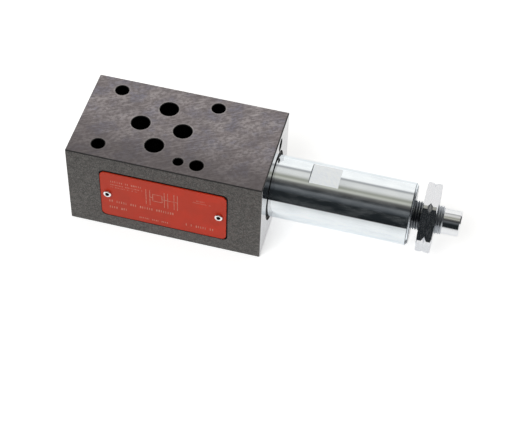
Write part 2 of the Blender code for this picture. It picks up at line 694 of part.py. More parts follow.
# Rear spring plate: hub in the spring, sealed piston, seat for the screw's tip
piston_radius = SPRING_BORE_RADIUS - SLIDE_GAP
plate_groove_floor = SPRING_BORE_RADIUS - SEAL_SECTION - 2 * SEAL_GAP
plate_groove_from = REAR_PLATE_FRONT_X + REAR_DISC_THICKNESS
plate_groove_to = plate_groove_from + SEAL_SECTION + 2 * SEAL_GAP
rear_profile = [
    (0.0, REAR_PLATE_BACK_X - SCREW_SEAT_DEPTH),
    (SCREW_SEAT_RADIUS, REAR_PLATE_BACK_X - SCREW_SEAT_DEPTH),
    (SCREW_SEAT_RADIUS, REAR_PLATE_BACK_X),
    (piston_radius, REAR_PLATE_BACK_X),
    (piston_radius, plate_groove_to),
    (plate_groove_floor, plate_groove_to),
    (plate_groove_floor, plate_groove_from),
    (piston_radius, plate_groove_from),
    (piston_radius, REAR_PLATE_FRONT_X),
    (SPRING_HUB_RADIUS, REAR_PLATE_FRONT_X),
    (SPRING_HUB_RADIUS, REAR_PLATE_FRONT_X - SPRING_HUB_LENGTH),
    (0.0, REAR_PLATE_FRONT_X - SPRING_HUB_LENGTH),
]
cartridge_piece(
    "rear_spring_plate", rear_profile, MACHINED_STEEL, MEDIUM, rim=REAR_PLATE_BACK_X
)
seal_ring(
    "adjuster_o_ring",
    plate_groove_floor + SEAL_GAP,
    SPRING_BORE_RADIUS - SEAL_GAP,
    (plate_groove_from + plate_groove_to) / 2,
)

# Pressure spring: one closed turn at each end, even pitch between them
wire = SPRING_WIRE / 2
spring_from = disc_back + SEAL_GAP + wire
spring_to = REAR_PLATE_FRONT_X - SEAL_GAP - wire
coil_radius = SPRING_BORE_RADIUS - SPRING_SIDE_GAP - wire
closed_pitch = SPRING_WIRE + SEAL_GAP
open_pitch = (spring_to - spring_from - 2 * closed_pitch) / (SPRING_TURNS - 2)
POINTS_A_TURN = 12


def spring_station(turns):
    """How far along its axis the wire has come after some turns."""
    closed = min(turns, 1.0) + max(turns - (SPRING_TURNS - 1), 0.0)
    return spring_from + closed * closed_pitch + (turns - closed) * open_pitch


coil = bpy.data.curves.new("pressure_spring", "CURVE")
coil.dimensions = "3D"
coil.bevel_depth = wire
coil.bevel_resolution = 2
coil.use_fill_caps = True
track = coil.splines.new("POLY")
track.points.add(SPRING_TURNS * POINTS_A_TURN)
for i, point in enumerate(track.points):
    turns = i / POINTS_A_TURN
    angle = math.tau * turns
    point.co = (
        spring_station(turns),
        coil_radius * math.cos(angle),
        coil_radius * math.sin(angle),
        1.0,
    )
spring = place(bpy.data.objects.new("pressure_spring", coil), "pressure_spring", parts)
spring.location = AXIS_START
coil.materials.append(SPRING_STEEL)

# Adjusting screw: round tip, neck, thread, plain spindle end with a hex socket
neck_radius = SCREW_RADIUS - SCREW_NECK_UNDERCUT
tip_radius = SCREW_SEAT_RADIUS - SEAT_GAP
neck_to_x = REAR_PLATE_BACK_X + SCREW_NECK_LENGTH
screw_profile = [
    (0.0, SCREW_END_X),
    (SPINDLE_RADIUS - SPINDLE_CHAMFER, SCREW_END_X),
    (SPINDLE_RADIUS, SCREW_END_X - SPINDLE_CHAMFER),
    (SPINDLE_RADIUS, THREAD_END_X),
    (SCREW_RADIUS, THREAD_END_X - (SCREW_RADIUS - SPINDLE_RADIUS)),
    (SCREW_RADIUS, neck_to_x),
    (neck_radius, neck_to_x - SCREW_NECK_UNDERCUT),
    (neck_radius, REAR_PLATE_BACK_X + SEAT_GAP),
    (tip_radius, REAR_PLATE_BACK_X + SEAT_GAP),
    (tip_radius, SCREW_TIP_X + tip_radius / 4),
    (tip_radius / 2, SCREW_TIP_X),
    (0.0, SCREW_TIP_X),
]
adjuster = cartridge_piece(
    "adjusting_screw", screw_profile, PLATED_STEEL, rim=BARREL_END_X
)
socket_corner = SOCKET_ACROSS / math.sqrt(3)
socket_start = on_axis(SCREW_END_X - SOCKET_DEPTH)
socket_end = on_axis(SCREW_END_X + OVERSHOOT)
cut(adjuster, rod("socket_cutter", socket_corner, socket_start, socket_end, 6))

# Lock nut: hexagon with its corners turned round, chamfered and notched at mid-width, plain bore
nut_corner = NUT_ACROSS / math.sqrt(3)
nut_middle = NUT_X + NUT_THICKNESS / 2
nut_bore = SCREW_RADIUS + SEAT_GAP
chamfer_rise = NUT_CORNER_CHAMFER * math.tan(math.radians(30))
nut_profile = [
    (nut_bore, NUT_X + NUT_THICKNESS),
    (NUT_CORNER_RADIUS - NUT_CORNER_CHAMFER, NUT_X + NUT_THICKNESS),
    (NUT_CORNER_RADIUS, NUT_X + NUT_THICKNESS - chamfer_rise),
    (NUT_CORNER_RADIUS, nut_middle + NUT_NOTCH_WIDTH / 2),
    (NUT_CORNER_RADIUS - NUT_NOTCH_DEPTH, nut_middle),
    (NUT_CORNER_RADIUS, nut_middle - NUT_NOTCH_WIDTH / 2),
    (NUT_CORNER_RADIUS, NUT_X + chamfer_rise),
    (NUT_CORNER_RADIUS - NUT_CORNER_CHAMFER, NUT_X),
    (nut_bore, NUT_X),
]
nut = cartridge_piece("lock_nut", nut_profile, PLATED_STEEL, FINE, ring=True, rim=nut_middle)
hexagon_from = on_axis(NUT_X - OVERSHOOT)
hexagon_to = on_axis(NUT_X + NUT_THICKNESS + OVERSHOOT)
hexagon = rod("nut_hexagon_cutter", nut_corner, hexagon_from, hexagon_to, 6, turn=NUT_TURN)
cut(nut, hexagon, operation="INTERSECT")
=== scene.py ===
"""Looks of the hydraulic sandwich valve: its finishes, fine forms, lights and camera."""

import math
import random

import bmesh
import bpy
from mathutils import Matrix, Vector


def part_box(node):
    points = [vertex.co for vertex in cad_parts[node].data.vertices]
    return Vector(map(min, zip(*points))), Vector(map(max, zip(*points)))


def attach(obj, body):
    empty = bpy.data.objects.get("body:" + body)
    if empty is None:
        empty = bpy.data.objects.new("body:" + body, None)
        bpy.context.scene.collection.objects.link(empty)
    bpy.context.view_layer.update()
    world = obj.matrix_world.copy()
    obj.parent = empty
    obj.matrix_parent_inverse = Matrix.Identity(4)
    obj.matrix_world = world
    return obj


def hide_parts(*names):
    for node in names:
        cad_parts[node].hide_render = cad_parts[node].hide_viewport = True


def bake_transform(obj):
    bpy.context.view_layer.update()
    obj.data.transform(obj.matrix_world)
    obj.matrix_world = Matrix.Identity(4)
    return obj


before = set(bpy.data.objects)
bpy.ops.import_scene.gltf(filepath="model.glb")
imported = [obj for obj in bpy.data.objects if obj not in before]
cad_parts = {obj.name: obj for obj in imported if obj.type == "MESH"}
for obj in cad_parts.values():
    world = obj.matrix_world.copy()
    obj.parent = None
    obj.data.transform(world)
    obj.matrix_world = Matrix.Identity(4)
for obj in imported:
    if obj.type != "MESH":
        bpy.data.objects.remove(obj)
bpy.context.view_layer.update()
MM = 0.001


# Studio: a white table in a dark room. Long lamps and a pale wall behind it run along the cartridge,
# so the polished barrel shows them as stripes, and shows the white table from below. The camera is in
# front of the name plate and to its right, and looks down at about 50 degrees.

class Socket:
    """A socket in a node tree. Sums with it add Math nodes, and node() adds any other node."""

    def __init__(self, tree, socket=None):
        self.tree = tree
        self.socket = socket

    def node(self, kind, settings=None, sockets=None, out=0):
        """Add a node: its settings are set first, then its sockets get their values or links."""
        made = self.tree.nodes.new(kind)
        for name, value in (settings or {}).items():
            if name == "stops":
                fill_ramp(made.color_ramp, value)
            else:
                setattr(made, name, value)
        plug(made, sockets or {})
        return Socket(self.tree, made.outputs[out] if made.outputs else None)

    def output(self, name):
        """Another output of the same node."""
        return Socket(self.tree, self.socket.node.outputs[name])

    def maths(self, operation, *values):
        """A Math node that has no operator here."""
        return self.node("ShaderNodeMath", {"operation": operation}, dict(enumerate(values)))

    def __add__(self, other):
        return self.maths("ADD", self, other)

    def __radd__(self, other):
        return self.maths("ADD", other, self)

    def __sub__(self, other):
        return self.maths("SUBTRACT", self, other)

    def __rsub__(self, other):
        return self.maths("SUBTRACT", other, self)

    def __mul__(self, other):
        return self.maths("MULTIPLY", self, other)

    def __rmul__(self, other):
        return self.maths("MULTIPLY", other, self)

    def __truediv__(self, other):
        return self.maths("DIVIDE", self, other)


def plug(made, sockets):
    """Give a node's sockets their values, or links from other sockets."""
    for name, value in sockets.items():
        if isinstance(value, Socket):
            made.id_data.links.new(value.socket, made.inputs[name])
        else:
            made.inputs[name].default_value = value


def fill_ramp(ramp, stops):
    """Set a colour ramp's stops, given as pairs of place and colour."""
    while len(ramp.elements) < len(stops):
        ramp.elements.new(1.0)
    for element, (place, colour) in zip(ramp.elements, stops):
        element.position = place
        element.color = (*colour, 1.0)


def split(spot):
    """The three parts of a vector."""
    x = spot.node("ShaderNodeSeparateXYZ", sockets={0: spot})
    return x, x.output("Y"), x.output("Z")


def mix(factor, one, other):
    """A colour between two colours."""
    colours = [value if isinstance(value, Socket) else (*value, 1.0) for value in (one, other)]
    return factor.node(
        "ShaderNodeMix", {"data_type": "RGBA"}, {0: factor, 6: colours[0], 7: colours[1]}, out=2
    )


def fade(value, low, high):
    """A soft step: 0 at low and 1 at high."""
    return value.node(
        "ShaderNodeMapRange",
        {"interpolation_type": "SMOOTHSTEP"},
        {"Value": value, "From Min": low, "From Max": high},
    )


def highest(first, *others):
    """The highest of several values."""
    for other in others:
        first = first.maths("MAXIMUM", first, other)
    return first


# What polished metal sees of the room, by degrees from the front horizon up and over to the back
ROOM = [
    (0, (0.017, 0.020, 0.022)),
    (30, (0.017, 0.020, 0.022)),
    (38, (0.066, 0.072, 0.079)),
    (46, (0.125, 0.131, 0.138)),
    (51, (0.125, 0.130, 0.136)),
    (55, (0.058, 0.061, 0.064)),
    (60, (0.044, 0.046, 0.048)),
    (64, (0.085, 0.084, 0.082)),
    (69, (0.118, 0.114, 0.108)),
    (73, (0.225, 0.222, 0.205)),
    (76, (0.400, 0.395, 0.355)),
    (79, (0.545, 0.540, 0.480)),
    (83, (0.510, 0.505, 0.440)),
    (87, (0.360, 0.355, 0.305)),
    (91, (0.350, 0.350, 0.300)),
    (96, (0.520, 0.515, 0.475)),
    (101, (0.700, 0.690, 0.660)),
    (107, (0.780, 0.770, 0.745)),
    (116, (0.770, 0.760, 0.735)),
    (120, (0.690, 0.680, 0.660)),
    (124, (0.440, 0.436, 0.432)),
    (128, (0.400, 0.402, 0.410)),
    (131, (0.640, 0.640, 0.640)),
    (134, (0.990, 0.980, 0.960)),
    (140, (1.100, 1.090, 1.070)),
    (180, (1.100, 1.090, 1.070)),
]
SIDE_WALL = (0.10, 0.10, 0.105)    # the dark walls past the room's two ends
SIDE_START = 0.58
SIDE_END = 0.70
WHITE = (1.0, 1.0, 1.0)
BLACK = (0.0, 0.0, 0.0)

world = bpy.data.worlds.new("studio")
bpy.context.scene.world = world
world.use_nodes = True
world.node_tree.nodes.clear()
sky = Socket(world.node_tree)
direction = sky.node("ShaderNodeTexCoord", out="Generated")
across, back, up = split(direction)
angle = sky.maths("ARCTAN2", up, back * -1.0) / math.pi
room = sky.node(
    "ShaderNodeValToRGB",
    {"stops": [(degrees / 180, colour) for degrees, colour in ROOM]},
    {"Fac": sky.maths("ABSOLUTE", angle)},
)
room = mix(fade(sky.maths("ABSOLUTE", across), SIDE_START, SIDE_END), room, SIDE_WALL)
seen = sky.node("ShaderNodeLightPath", out="Is Camera Ray")
seen = highest(seen, seen.output("Is Transmission Ray"))
glow = sky.node("ShaderNodeBackground", sockets={"Color": mix(seen, room, WHITE), "Strength": 1.0})
sky.node("ShaderNodeOutputWorld", sockets={"Surface": glow})

TABLE_SIZE = 6.0
TABLE_DROP = 0.1 * MM    # the gap under the valve that keeps the two faces apart
TABLE_WHITE = (0.8, 0.8, 0.8)
TABLE_GLOW = (0.58, 0.58, 0.58)
HORIZON_START = 0.25    # from here the table fades to pure white
HORIZON_END = 0.9
CLOTH_EDGE = -0.155    # the white cloth's front edge, as polished metal shows it
CLOTH_EDGE_BLUR = 0.02
CLOTH_FRONT_Y = -0.11
CLOTH_FRONT_GLOW = 0.62
CLOTH_MIDDLE_Y = -0.015
CLOTH_MIDDLE_GLOW = 0.90
BEFORE_CLOTH = (0.014, 0.016, 0.018)    # the dark table in front of the cloth
bpy.ops.mesh.primitive_plane_add(size=TABLE_SIZE, location=(0.0, 0.0, -TABLE_DROP))
table = bpy.context.object
table.name = "table"
table_white = bpy.data.materials.new("table_white")
table_white.use_nodes = True
table.data.materials.append(table_white)
paint = table_white.node_tree.nodes["Principled BSDF"]
rays = Socket(table_white.node_tree).node("ShaderNodeLightPath", out="Is Camera Ray")
mirrored = rays.output("Is Glossy Ray")
ground = rays.node("ShaderNodeTexCoord", out="Object")
_, forwards, _ = split(ground)
cloth = fade(forwards, CLOTH_EDGE - CLOTH_EDGE_BLUR, CLOTH_EDGE + CLOTH_EDGE_BLUR)
nearness = fade(forwards, CLOTH_FRONT_Y, CLOTH_MIDDLE_Y)
mirror_glow = cloth * (nearness * (CLOTH_MIDDLE_GLOW - CLOTH_FRONT_GLOW) + CLOTH_FRONT_GLOW)
distance = ground.node("ShaderNodeVectorMath", {"operation": "LENGTH"}, {0: ground}, "Value")
table_glow = mix(fade(distance, HORIZON_START, HORIZON_END), TABLE_GLOW, WHITE)
shown = rays + rays.output("Is Transmission Ray") + mirrored * mirror_glow
hidden = mirrored * (1.0 - mirror_glow)
plug(paint, {
    "Base Color": mix(hidden, TABLE_WHITE, BLACK),
    "Roughness": 0.9,
    "Specular IOR Level": 0.0,
    "Emission Color": mix(shown, BEFORE_CLOTH, table_glow),
    "Emission Strength": 1.0,
})

LAMP_PLACE = Vector((-0.35, -0.75, 0.95))
LAMP_SIZE = 0.7
LAMP_POWER = 9.0
lamp_data = bpy.data.lights.new("key_lamp", "AREA")
lamp_data.size = LAMP_SIZE
lamp_data.energy = LAMP_POWER
lamp = bpy.data.objects.new("key_lamp", lamp_data)
bpy.context.scene.collection.objects.link(lamp)
lamp.location = LAMP_PLACE
lamp.rotation_euler = (-LAMP_PLACE).to_track_quat("-Z", "Y").to_euler()
lamp.visible_glossy = False

IMAGE_WIDTH = 520
FOCAL_PIXELS = 1428.0
CAMERA_PLACE = Vector((0.12394, -0.37763, 0.45041))
CAMERA_AIM = Vector((0.04583, -0.01879, 0.02))
CAMERA_ROLL = math.radians(2.724)
camera_data = bpy.data.cameras.new("camera")
camera_data.sensor_width = 36.0
camera_data.lens = FOCAL_PIXELS / IMAGE_WIDTH * camera_data.sensor_width
camera = bpy.data.objects.new("camera", camera_data)
bpy.context.scene.collection.objects.link(camera)
bpy.context.scene.camera = camera
camera.location = CAMERA_PLACE
level = (CAMERA_AIM - CAMERA_PLACE).to_track_quat("-Z", "Y").to_matrix()
camera.rotation_euler = (level @ Matrix.Rotation(CAMERA_ROLL, 3, "Z")).to_euler()
bpy.context.scene.view_settings.view_transform = "Standard"


# Valve block: a cold-drawn steel bar, sawn, milled and ground, then blackened. Its ports, bolt holes
# and drillings are bored right through, and the end face round the cartridge is machined last, so it
# is left bare and bright.

block_low, block_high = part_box("valve_block")
END_X = block_high.x
FRONT_Y = block_low.y
TOP_Z = block_high.z
MIDDLE_Y = (block_low.y + block_high.y) / 2
AXIS = Vector((0.0, MIDDLE_Y, TOP_Z / 2))    # the cartridge's axis, over the ports' middle
CHAMFER = 0.3 * MM
HOLE_EDGE = 0.25 * MM
PORT_RADIUS = 3.8 * MM
BOLT_RADIUS = 2.75 * MM
PIN_RADIUS = 2.0 * MM
PIN_DEPTH = 5.0 * MM
PORTS = [(0.0, -10.4), (0.0, 10.4), (-8.8, 0.0), (8.7, 0.0)]
BOLTS = [(-21.5, 15.5), (-21.5, -15.5), (19.0, 16.25), (19.0, -16.25)]
PIN = (11.5, -16.25)
SEAL_RECESS_RADIUS = 6.3 * MM
SEAL_RECESS_DEPTH = 1.35 * MM
CAVITY = [    # radius, and station along X
    (14.5, 44.7),
    (11.0, 44.7),
    (11.0, 31.7),
    (12.4, 31.7),
    (12.4, 23.2),
    (7.8, 23.2),
    (7.8, 15.2),
]
PRESSURE_RADIUS = 1.6 * MM
PRESSURE_Y = -5.8 * MM    # where the pressure drilling meets the cavity, off its axis
GALLERY_RADIUS = 2.6 * MM
GALLERY = Vector((0.0, 7.7 * MM, 35.5 * MM))
TANK_X = 27.45 * MM
TANK_RADIUS = 2.0 * MM
POCKET_DEPTH = 0.8 * MM
POCKET_LOW = Vector((-19.4, 0.0, 6.2)) * MM
POCKET_HIGH = Vector((33.6, 0.0, 32.9)) * MM
PLATE_CORNER = 2.2 * MM
RIVET_HOLE_RADIUS = 1.2 * MM
RIVET_HOLE_DEPTH = 4.0 * MM
PAST = 1.0 * MM    # how far a cutter runs out of the face that it opens
CREASE = 20    # edges sharper than so many degrees stay crisp

plate_low, plate_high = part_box("name_plate")
rivet_middles = []
for side in ("left", "right"):
    low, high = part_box(f"plate_rivet_{side}")
    rivet_middles.append(Vector(((low.x + high.x) / 2, plate_low.y, (low.z + high.z) / 2)))


def smooth(mesh, sharp=CREASE):
    """Smooth a mesh's round faces and keep its edges crisp."""
    mesh.shade_smooth()
    mesh.set_sharp_from_angle(angle=math.radians(sharp))


def as_object(shape, name):
    """A new object from a bmesh."""
    mesh = bpy.data.meshes.new(name)
    bmesh.ops.recalc_face_normals(shape, faces=shape.faces)
    shape.to_mesh(mesh)
    shape.free()
    smooth(mesh)
    made = bpy.data.objects.new(name, mesh)
    bpy.context.scene.collection.objects.link(made)
    return made


def lathe(name, profile, middle=AXIS, axis=(1, 0, 0), steps=96, ring=False, first=0.0):
    """A turned solid from (radius, station) pairs along an axis. A ring's profile closes on itself."""
    shape = bmesh.new()
    circles = []
    for radius, station in profile:
        count = steps if radius else 1
        angles = [first + math.tau * i / count for i in range(count)]
        points = [(radius * math.cos(a), radius * math.sin(a), station) for a in angles]
        circles.append([shape.verts.new(point) for point in points])
    for one, other in zip(circles, circles[1:] + (circles[:1] if ring else [])):
        for i in range(steps):
            j = i + 1
            corners = [one[i % len(one)], one[j % len(one)], other[j % len(other)], other[i % len(other)]]
            corners = list(dict.fromkeys(corners))
            if len(corners) > 2:
                shape.faces.new(corners)
    turn = Vector(axis).to_track_quat("Z", "Y").to_matrix().to_4x4()
    shape.transform(Matrix.Translation(middle) @ turn)
    return as_object(shape, name)


def drilled(start, end, radius, steps=48):
    """A cutter for a plain drilling between two points."""
    along = end - start
    profile = [(0.0, along.length), (radius, along.length), (radius, 0.0), (0.0, 0.0)]
    return lathe("drilling", profile, start, along, steps)


def add_box(shape, size, middle):
    """Add a box to a bmesh."""
    made = bmesh.ops.create_cube(shape, size=1.0)["verts"]
    bmesh.ops.scale(shape, vec=size, verts=made)
    bmesh.ops.translate(shape, vec=middle, verts=made)


def rounded_slab(name, low, high, corner, edge=0.0):
    """A slab facing along Y between two corners, with round corners and a broken front edge."""
    shape = bmesh.new()
    add_box(shape, high - low, (low + high) / 2)
    upright = [e for e in shape.edges if abs(e.verts[0].co.y - e.verts[1].co.y) > (high.y - low.y) / 2]
    bmesh.ops.bevel(shape, geom=upright, offset=corner, segments=12, profile=0.5, affect="EDGES")
    if edge:
        rim = [e for e in shape.edges if all(v.co.y < low.y + edge / 100 for v in e.verts)]
        bmesh.ops.bevel(shape, geom=rim, offset=edge, segments=2, profile=0.5, affect="EDGES")
    return as_object(shape, name)


def carve(body, cutters, operation="DIFFERENCE", sharp=CREASE):
    """Cut a body with each cutter in turn and leave a plain mesh. The cutters go."""
    for cutter in cutters:
        boolean = body.modifiers.new("cut", "BOOLEAN")
        boolean.operation = operation
        boolean.solver = "EXACT"
        boolean.object = cutter
    result = body.evaluated_get(bpy.context.evaluated_depsgraph_get())
    mesh = bpy.data.meshes.new_from_object(result)
    body.modifiers.clear()
    body.data = mesh
    smooth(mesh, sharp)
    for cutter in cutters:
        bpy.data.objects.remove(cutter)


def mouth(radius, face, out):
    """The broken edge of a hole, from outside its face down into the bore."""
    return [(radius + HOLE_EDGE + PAST, face + out * PAST), (radius, face - out * HOLE_EDGE)]


shape = bmesh.new()
add_box(shape, block_high - block_low, (block_low + block_high) / 2)
bmesh.ops.bevel(shape, geom=shape.edges, offset=CHAMFER, segments=1, profile=0.5, affect="EDGES")
block = as_object(shape, "blackened_block")

cutters = []
for x, y in PORTS:
    profile = [(0.0, TOP_Z + PAST), *mouth(PORT_RADIUS, TOP_Z, 1)]
    profile += [(PORT_RADIUS, SEAL_RECESS_DEPTH), (SEAL_RECESS_RADIUS, SEAL_RECESS_DEPTH)]
    profile += [(SEAL_RECESS_RADIUS, -PAST), (0.0, -PAST)]
    cutters.append(lathe("port", profile, Vector((x, y, 0.0)) * MM, (0, 0, 1)))
for x, y in BOLTS:
    profile = [(0.0, TOP_Z + PAST), *mouth(BOLT_RADIUS, TOP_Z, 1)]
    profile += [*reversed(mouth(BOLT_RADIUS, 0.0, -1)), (0.0, -PAST)]
    cutters.append(lathe("bolt", profile, Vector((x, y, 0.0)) * MM, (0, 0, 1), 64))
for face, out in ((TOP_Z, 1), (0.0, -1)):
    floor = face - out * PIN_DEPTH
    profile = [(0.0, face + out * PAST), *mouth(PIN_RADIUS, face, out), (PIN_RADIUS, floor)]
    profile += [(0.0, floor - out * PIN_RADIUS / 2)]
    cutters.append(lathe("pin", profile, Vector((*PIN, 0.0)) * MM, (0, 0, 1), 48))
cavity = [(radius * MM, x * MM) for radius, x in CAVITY]
cavity = [(0.0, END_X + PAST), (cavity[0][0], END_X + PAST), *cavity, (0.0, cavity[-1][1])]
cutters.append(lathe("cavity", cavity, steps=128))
pressure_start = AXIS + Vector((CAVITY[-1][1] * MM + PRESSURE_RADIUS, PRESSURE_Y, 0.0))
pressure_end = Vector((0.0, PORTS[0][1] * MM, AXIS.z))
cutters.append(drilled(pressure_start, pressure_end, PRESSURE_RADIUS))
gallery = [(0.0, END_X + PAST), *mouth(GALLERY_RADIUS, END_X, 1), (GALLERY_RADIUS, 0.0), (0.0, 0.0)]
cutters.append(lathe("gallery", gallery, GALLERY, steps=64))
tank_start = AXIS + Vector((TANK_X, 0.0, 0.0))
cutters.append(drilled(tank_start, GALLERY + Vector((TANK_X, 0.0, 0.0)), TANK_RADIUS))
pocket_low = POCKET_LOW + Vector((0.0, FRONT_Y - PAST, 0.0))
pocket_high = POCKET_HIGH + Vector((0.0, FRONT_Y + POCKET_DEPTH, 0.0))
cutters.append(rounded_slab("pocket", pocket_low, pocket_high, PLATE_CORNER))
for middle in rivet_middles:
    cutters.append(drilled(middle, middle + Vector((0, RIVET_HOLE_DEPTH, 0)), RIVET_HOLE_RADIUS, 32))
carve(block, cutters)


def new_finish(name):
    """A new material, its shader, and the place on the piece in millimetres."""
    made = bpy.data.materials.new(name)
    made.use_nodes = True
    place = Socket(made.node_tree).node("ShaderNodeTexCoord", out="Object")
    spot = place.node("ShaderNodeVectorMath", {"operation": "SCALE"}, {0: place, "Scale": 1 / MM})
    return made, made.node_tree.nodes["Principled BSDF"], spot


def grain(spot, fineness, stretch=(1, 1, 1), turn=0.0, detail=3.0):
    """Noise from 0 to 1, so many features a millimetre, stretched along axes turned about Z."""
    turned = spot.node("ShaderNodeMapping", sockets={0: spot, "Rotation": (0, 0, math.radians(turn))})
    long = turned.node("ShaderNodeMapping", sockets={0: turned, "Scale": stretch})
    return long.node("ShaderNodeTexNoise", sockets={"Vector": long, "Scale": fineness, "Detail": detail})


def bump(height, depth):
    """A bumped normal from a height of 0 to 1 and its depth in metres."""
    return height.node("ShaderNodeBump", sockets={"Height": height, "Distance": depth, "Strength": 1.0})


def coat(piece, finish):
    """Make a finish the piece's only material."""
    piece.data.materials.clear()
    piece.data.materials.append(finish)


def dress(piece, finish, body="root", replaced=()):
    """Give a piece its finish, its body and the solids that it stands for."""
    coat(piece, finish)
    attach(piece, body)
    if replaced:
        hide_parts(*replaced)


def lowest(first, *others):
    """The lowest of several values."""
    for other in others:
        first = first.maths("MINIMUM", first, other)
    return first


def distance_to(spot, point):
    """How far a place on the piece is from a point."""
    return spot.node("ShaderNodeVectorMath", {"operation": "DISTANCE"}, {0: spot, 1: point}, "Value")


def worn_and_shaded(colour, layers):
    """A colour under layers of wear and painted shade, each a pattern, its start, its full value,
    strength and colour.
    """
    for pattern, start, full, strength, layer_colour in layers:
        colour = mix(fade(pattern, start, full) * strength, colour, layer_colour)
    return colour


GROUND_DARK = (0.305, 0.275, 0.282)
GROUND_LIGHT = (0.445, 0.405, 0.411)
# Painted shade: the top face is darker towards the name plate.
GROUND_PAINTED_SHADE = (0.12, 0.106, 0.108)    # the top face is darker towards the name plate
HOLE_RIM = (0.50, 0.47, 0.46)
MILLED_DARK = (0.092, 0.088, 0.084)
MILLED_LIGHT = (0.135, 0.129, 0.122)
BARE_DARK = (0.56, 0.56, 0.575)
BARE_LIGHT = (0.64, 0.635, 0.65)
# Painted shade: the chamfers, the plate pocket and the top face's edge strips are painted near black, and
# the front-right corner's chamfer a lighter metallic grey.
PAINTED_EDGE_SHADE = (0.035, 0.034, 0.034)
PAINTED_CORNER_GREY = (0.22, 0.215, 0.21)
BORE_PAINTED_SHADE = (0.012, 0.012, 0.012)
GRIND_TURN = -31.0    # the way that the wheel's marks run on the top face, in degrees
GROUND_ROUGHNESS = 0.42
BARE_ROUGHNESS = 0.14
RELIEF = 0.008 * MM

block_steel, shader, spot = new_finish("blackened_steel")
x, y, z = split(spot)
front_face = FRONT_Y / MM
end_face = END_X / MM
top_face = TOP_Z / MM
chamfer = CHAMFER / MM
top = fade(z, top_face - 0.3, top_face - 0.1)
end = fade(x, end_face - 0.1, end_face - 0.02)
block_middle = (block_low + block_high) / 2 / MM
block_half = (block_high - block_low) / 2 / MM
inset = lowest(*[
    half - value.maths("ABSOLUTE", value - middle)
    for value, middle, half in zip((x, y, z), block_middle, block_half)
])
sunk = fade(inset, 0.02, 0.06)
rim = sunk * fade(inset, chamfer + 0.06, chamfer)
pocket_floor = front_face + POCKET_DEPTH / MM
pocket = sunk * fade(y, pocket_floor + 0.3, pocket_floor + 0.1)
corner = rim * fade(x, end_face - 0.42, end_face - 0.38) * fade(y, front_face + 0.42, front_face + 0.38)
lip = lowest(end_face - x, y - front_face)

plan = x.node("ShaderNodeCombineXYZ", sockets={"X": x, "Y": y})
rims = []
# Painted shade: the walls of the ports, bolt holes, pin hole and gallery are painted black.
bores = []
holes = [(spot_xy, PORT_RADIUS) for spot_xy in PORTS] + [(spot_xy, BOLT_RADIUS) for spot_xy in BOLTS]
for (hole_x, hole_y), radius in [*holes, (PIN, PIN_RADIUS)]:
    past_wall = distance_to(plan, (hole_x, hole_y, 0.0)) - radius / MM
    rims.append(fade(past_wall, 0.9, 0.4))
    bores.append(fade(past_wall, 0.12, 0.06))
end_view = x.node("ShaderNodeCombineXYZ", sockets={"Y": y, "Z": z})
past_wall = distance_to(end_view, GALLERY / MM) - GALLERY_RADIUS / MM
bores.append(fade(past_wall, 0.30, 0.25) * fade(x, -1.0, 1.0))
bore = highest(*bores) * (1.0 - top) * (1.0 - end)

stain = grain(spot, 0.10, detail=7.0)
blue_stain = grain(spot, 0.16, turn=60.0, detail=7.0)
cloud = grain(spot, 0.35, detail=6.0)
mottle = grain(spot, 0.80, (0.75, 1.0, 1.0), GRIND_TURN, detail=7.0)
scratch = grain(spot, 1.8, (0.08, 1.0, 1.0), GRIND_TURN + 2.0, detail=5.0)
streak = grain(spot, 0.34, (0.16, 1.0, 1.0), GRIND_TURN - 2.0, detail=5.0)
speck = grain(spot, 3.0)
ground = worn_and_shaded(mix(fade(stain, 0.38, 0.62), GROUND_DARK, GROUND_LIGHT), [
    (blue_stain, 0.46, 0.64, 0.60, (0.250, 0.247, 0.315)),
    (mottle, 0.40, 0.60, 0.66, (0.190, 0.168, 0.172)),
    (streak, 0.40, 0.62, 0.40, (0.225, 0.194, 0.196)),
    (scratch, 0.50, 0.72, 0.34, (0.640, 0.600, 0.600)),
    (speck, 0.55, 0.72, 0.60, (0.090, 0.081, 0.083)),
])
ground = mix(highest(*rims) * 0.42, ground, HOLE_RIM)
# Painted shade: the top face darkens towards the front, and its strips along the front and end edges go
# near black.
ground = worn_and_shaded(ground, [
    (y, 2.0, -20.0, 0.66, GROUND_PAINTED_SHADE),
    (lip, chamfer + 0.35, chamfer, 0.85, PAINTED_EDGE_SHADE),
])
milled = worn_and_shaded(mix(fade(cloud, 0.3, 0.7), MILLED_DARK, MILLED_LIGHT), [
    (mottle, 0.38, 0.60, 0.60, (0.066, 0.064, 0.062)),
    (speck, 0.45, 0.70, 0.60, (0.260, 0.250, 0.240)),
])
bare = mix(fade(streak, 0.35, 0.65), BARE_DARK, BARE_LIGHT)
skin = mix(top, milled, ground)
skin = mix(end, skin, bare)
# Painted shade: chamfers and the plate pocket go near black, and the front-right corner's chamfer a
# lighter grey.
skin = mix(highest(rim, pocket), skin, PAINTED_EDGE_SHADE)
skin = mix(corner, skin, PAINTED_CORNER_GREY)
# Painted shade: the bores go black.
skin = mix(bore, skin, BORE_PAINTED_SHADE)
satin = GROUND_ROUGHNESS + fade(cloud, 0.3, 0.7) * 0.08 - fade(scratch, 0.5, 0.8) * 0.10
plug(shader, {
    "Base Color": skin,
    "Metallic": 1.0 - rim * (1.0 - corner),
    "Roughness": satin * (1.0 - end) + end * BARE_ROUGHNESS + rim * 0.2,
    "Normal": bump(scratch * top + speck * (1.0 - top) * (1.0 - end), RELIEF),
})
dress(block, block_steel, replaced=["valve_block"])


# Name plate: sheet aluminium in orange-red enamel with a pale generic print, let into a milled pocket
# and held by two tubular rivets with rolled heads, whose hollows are painted dark as painted shade.

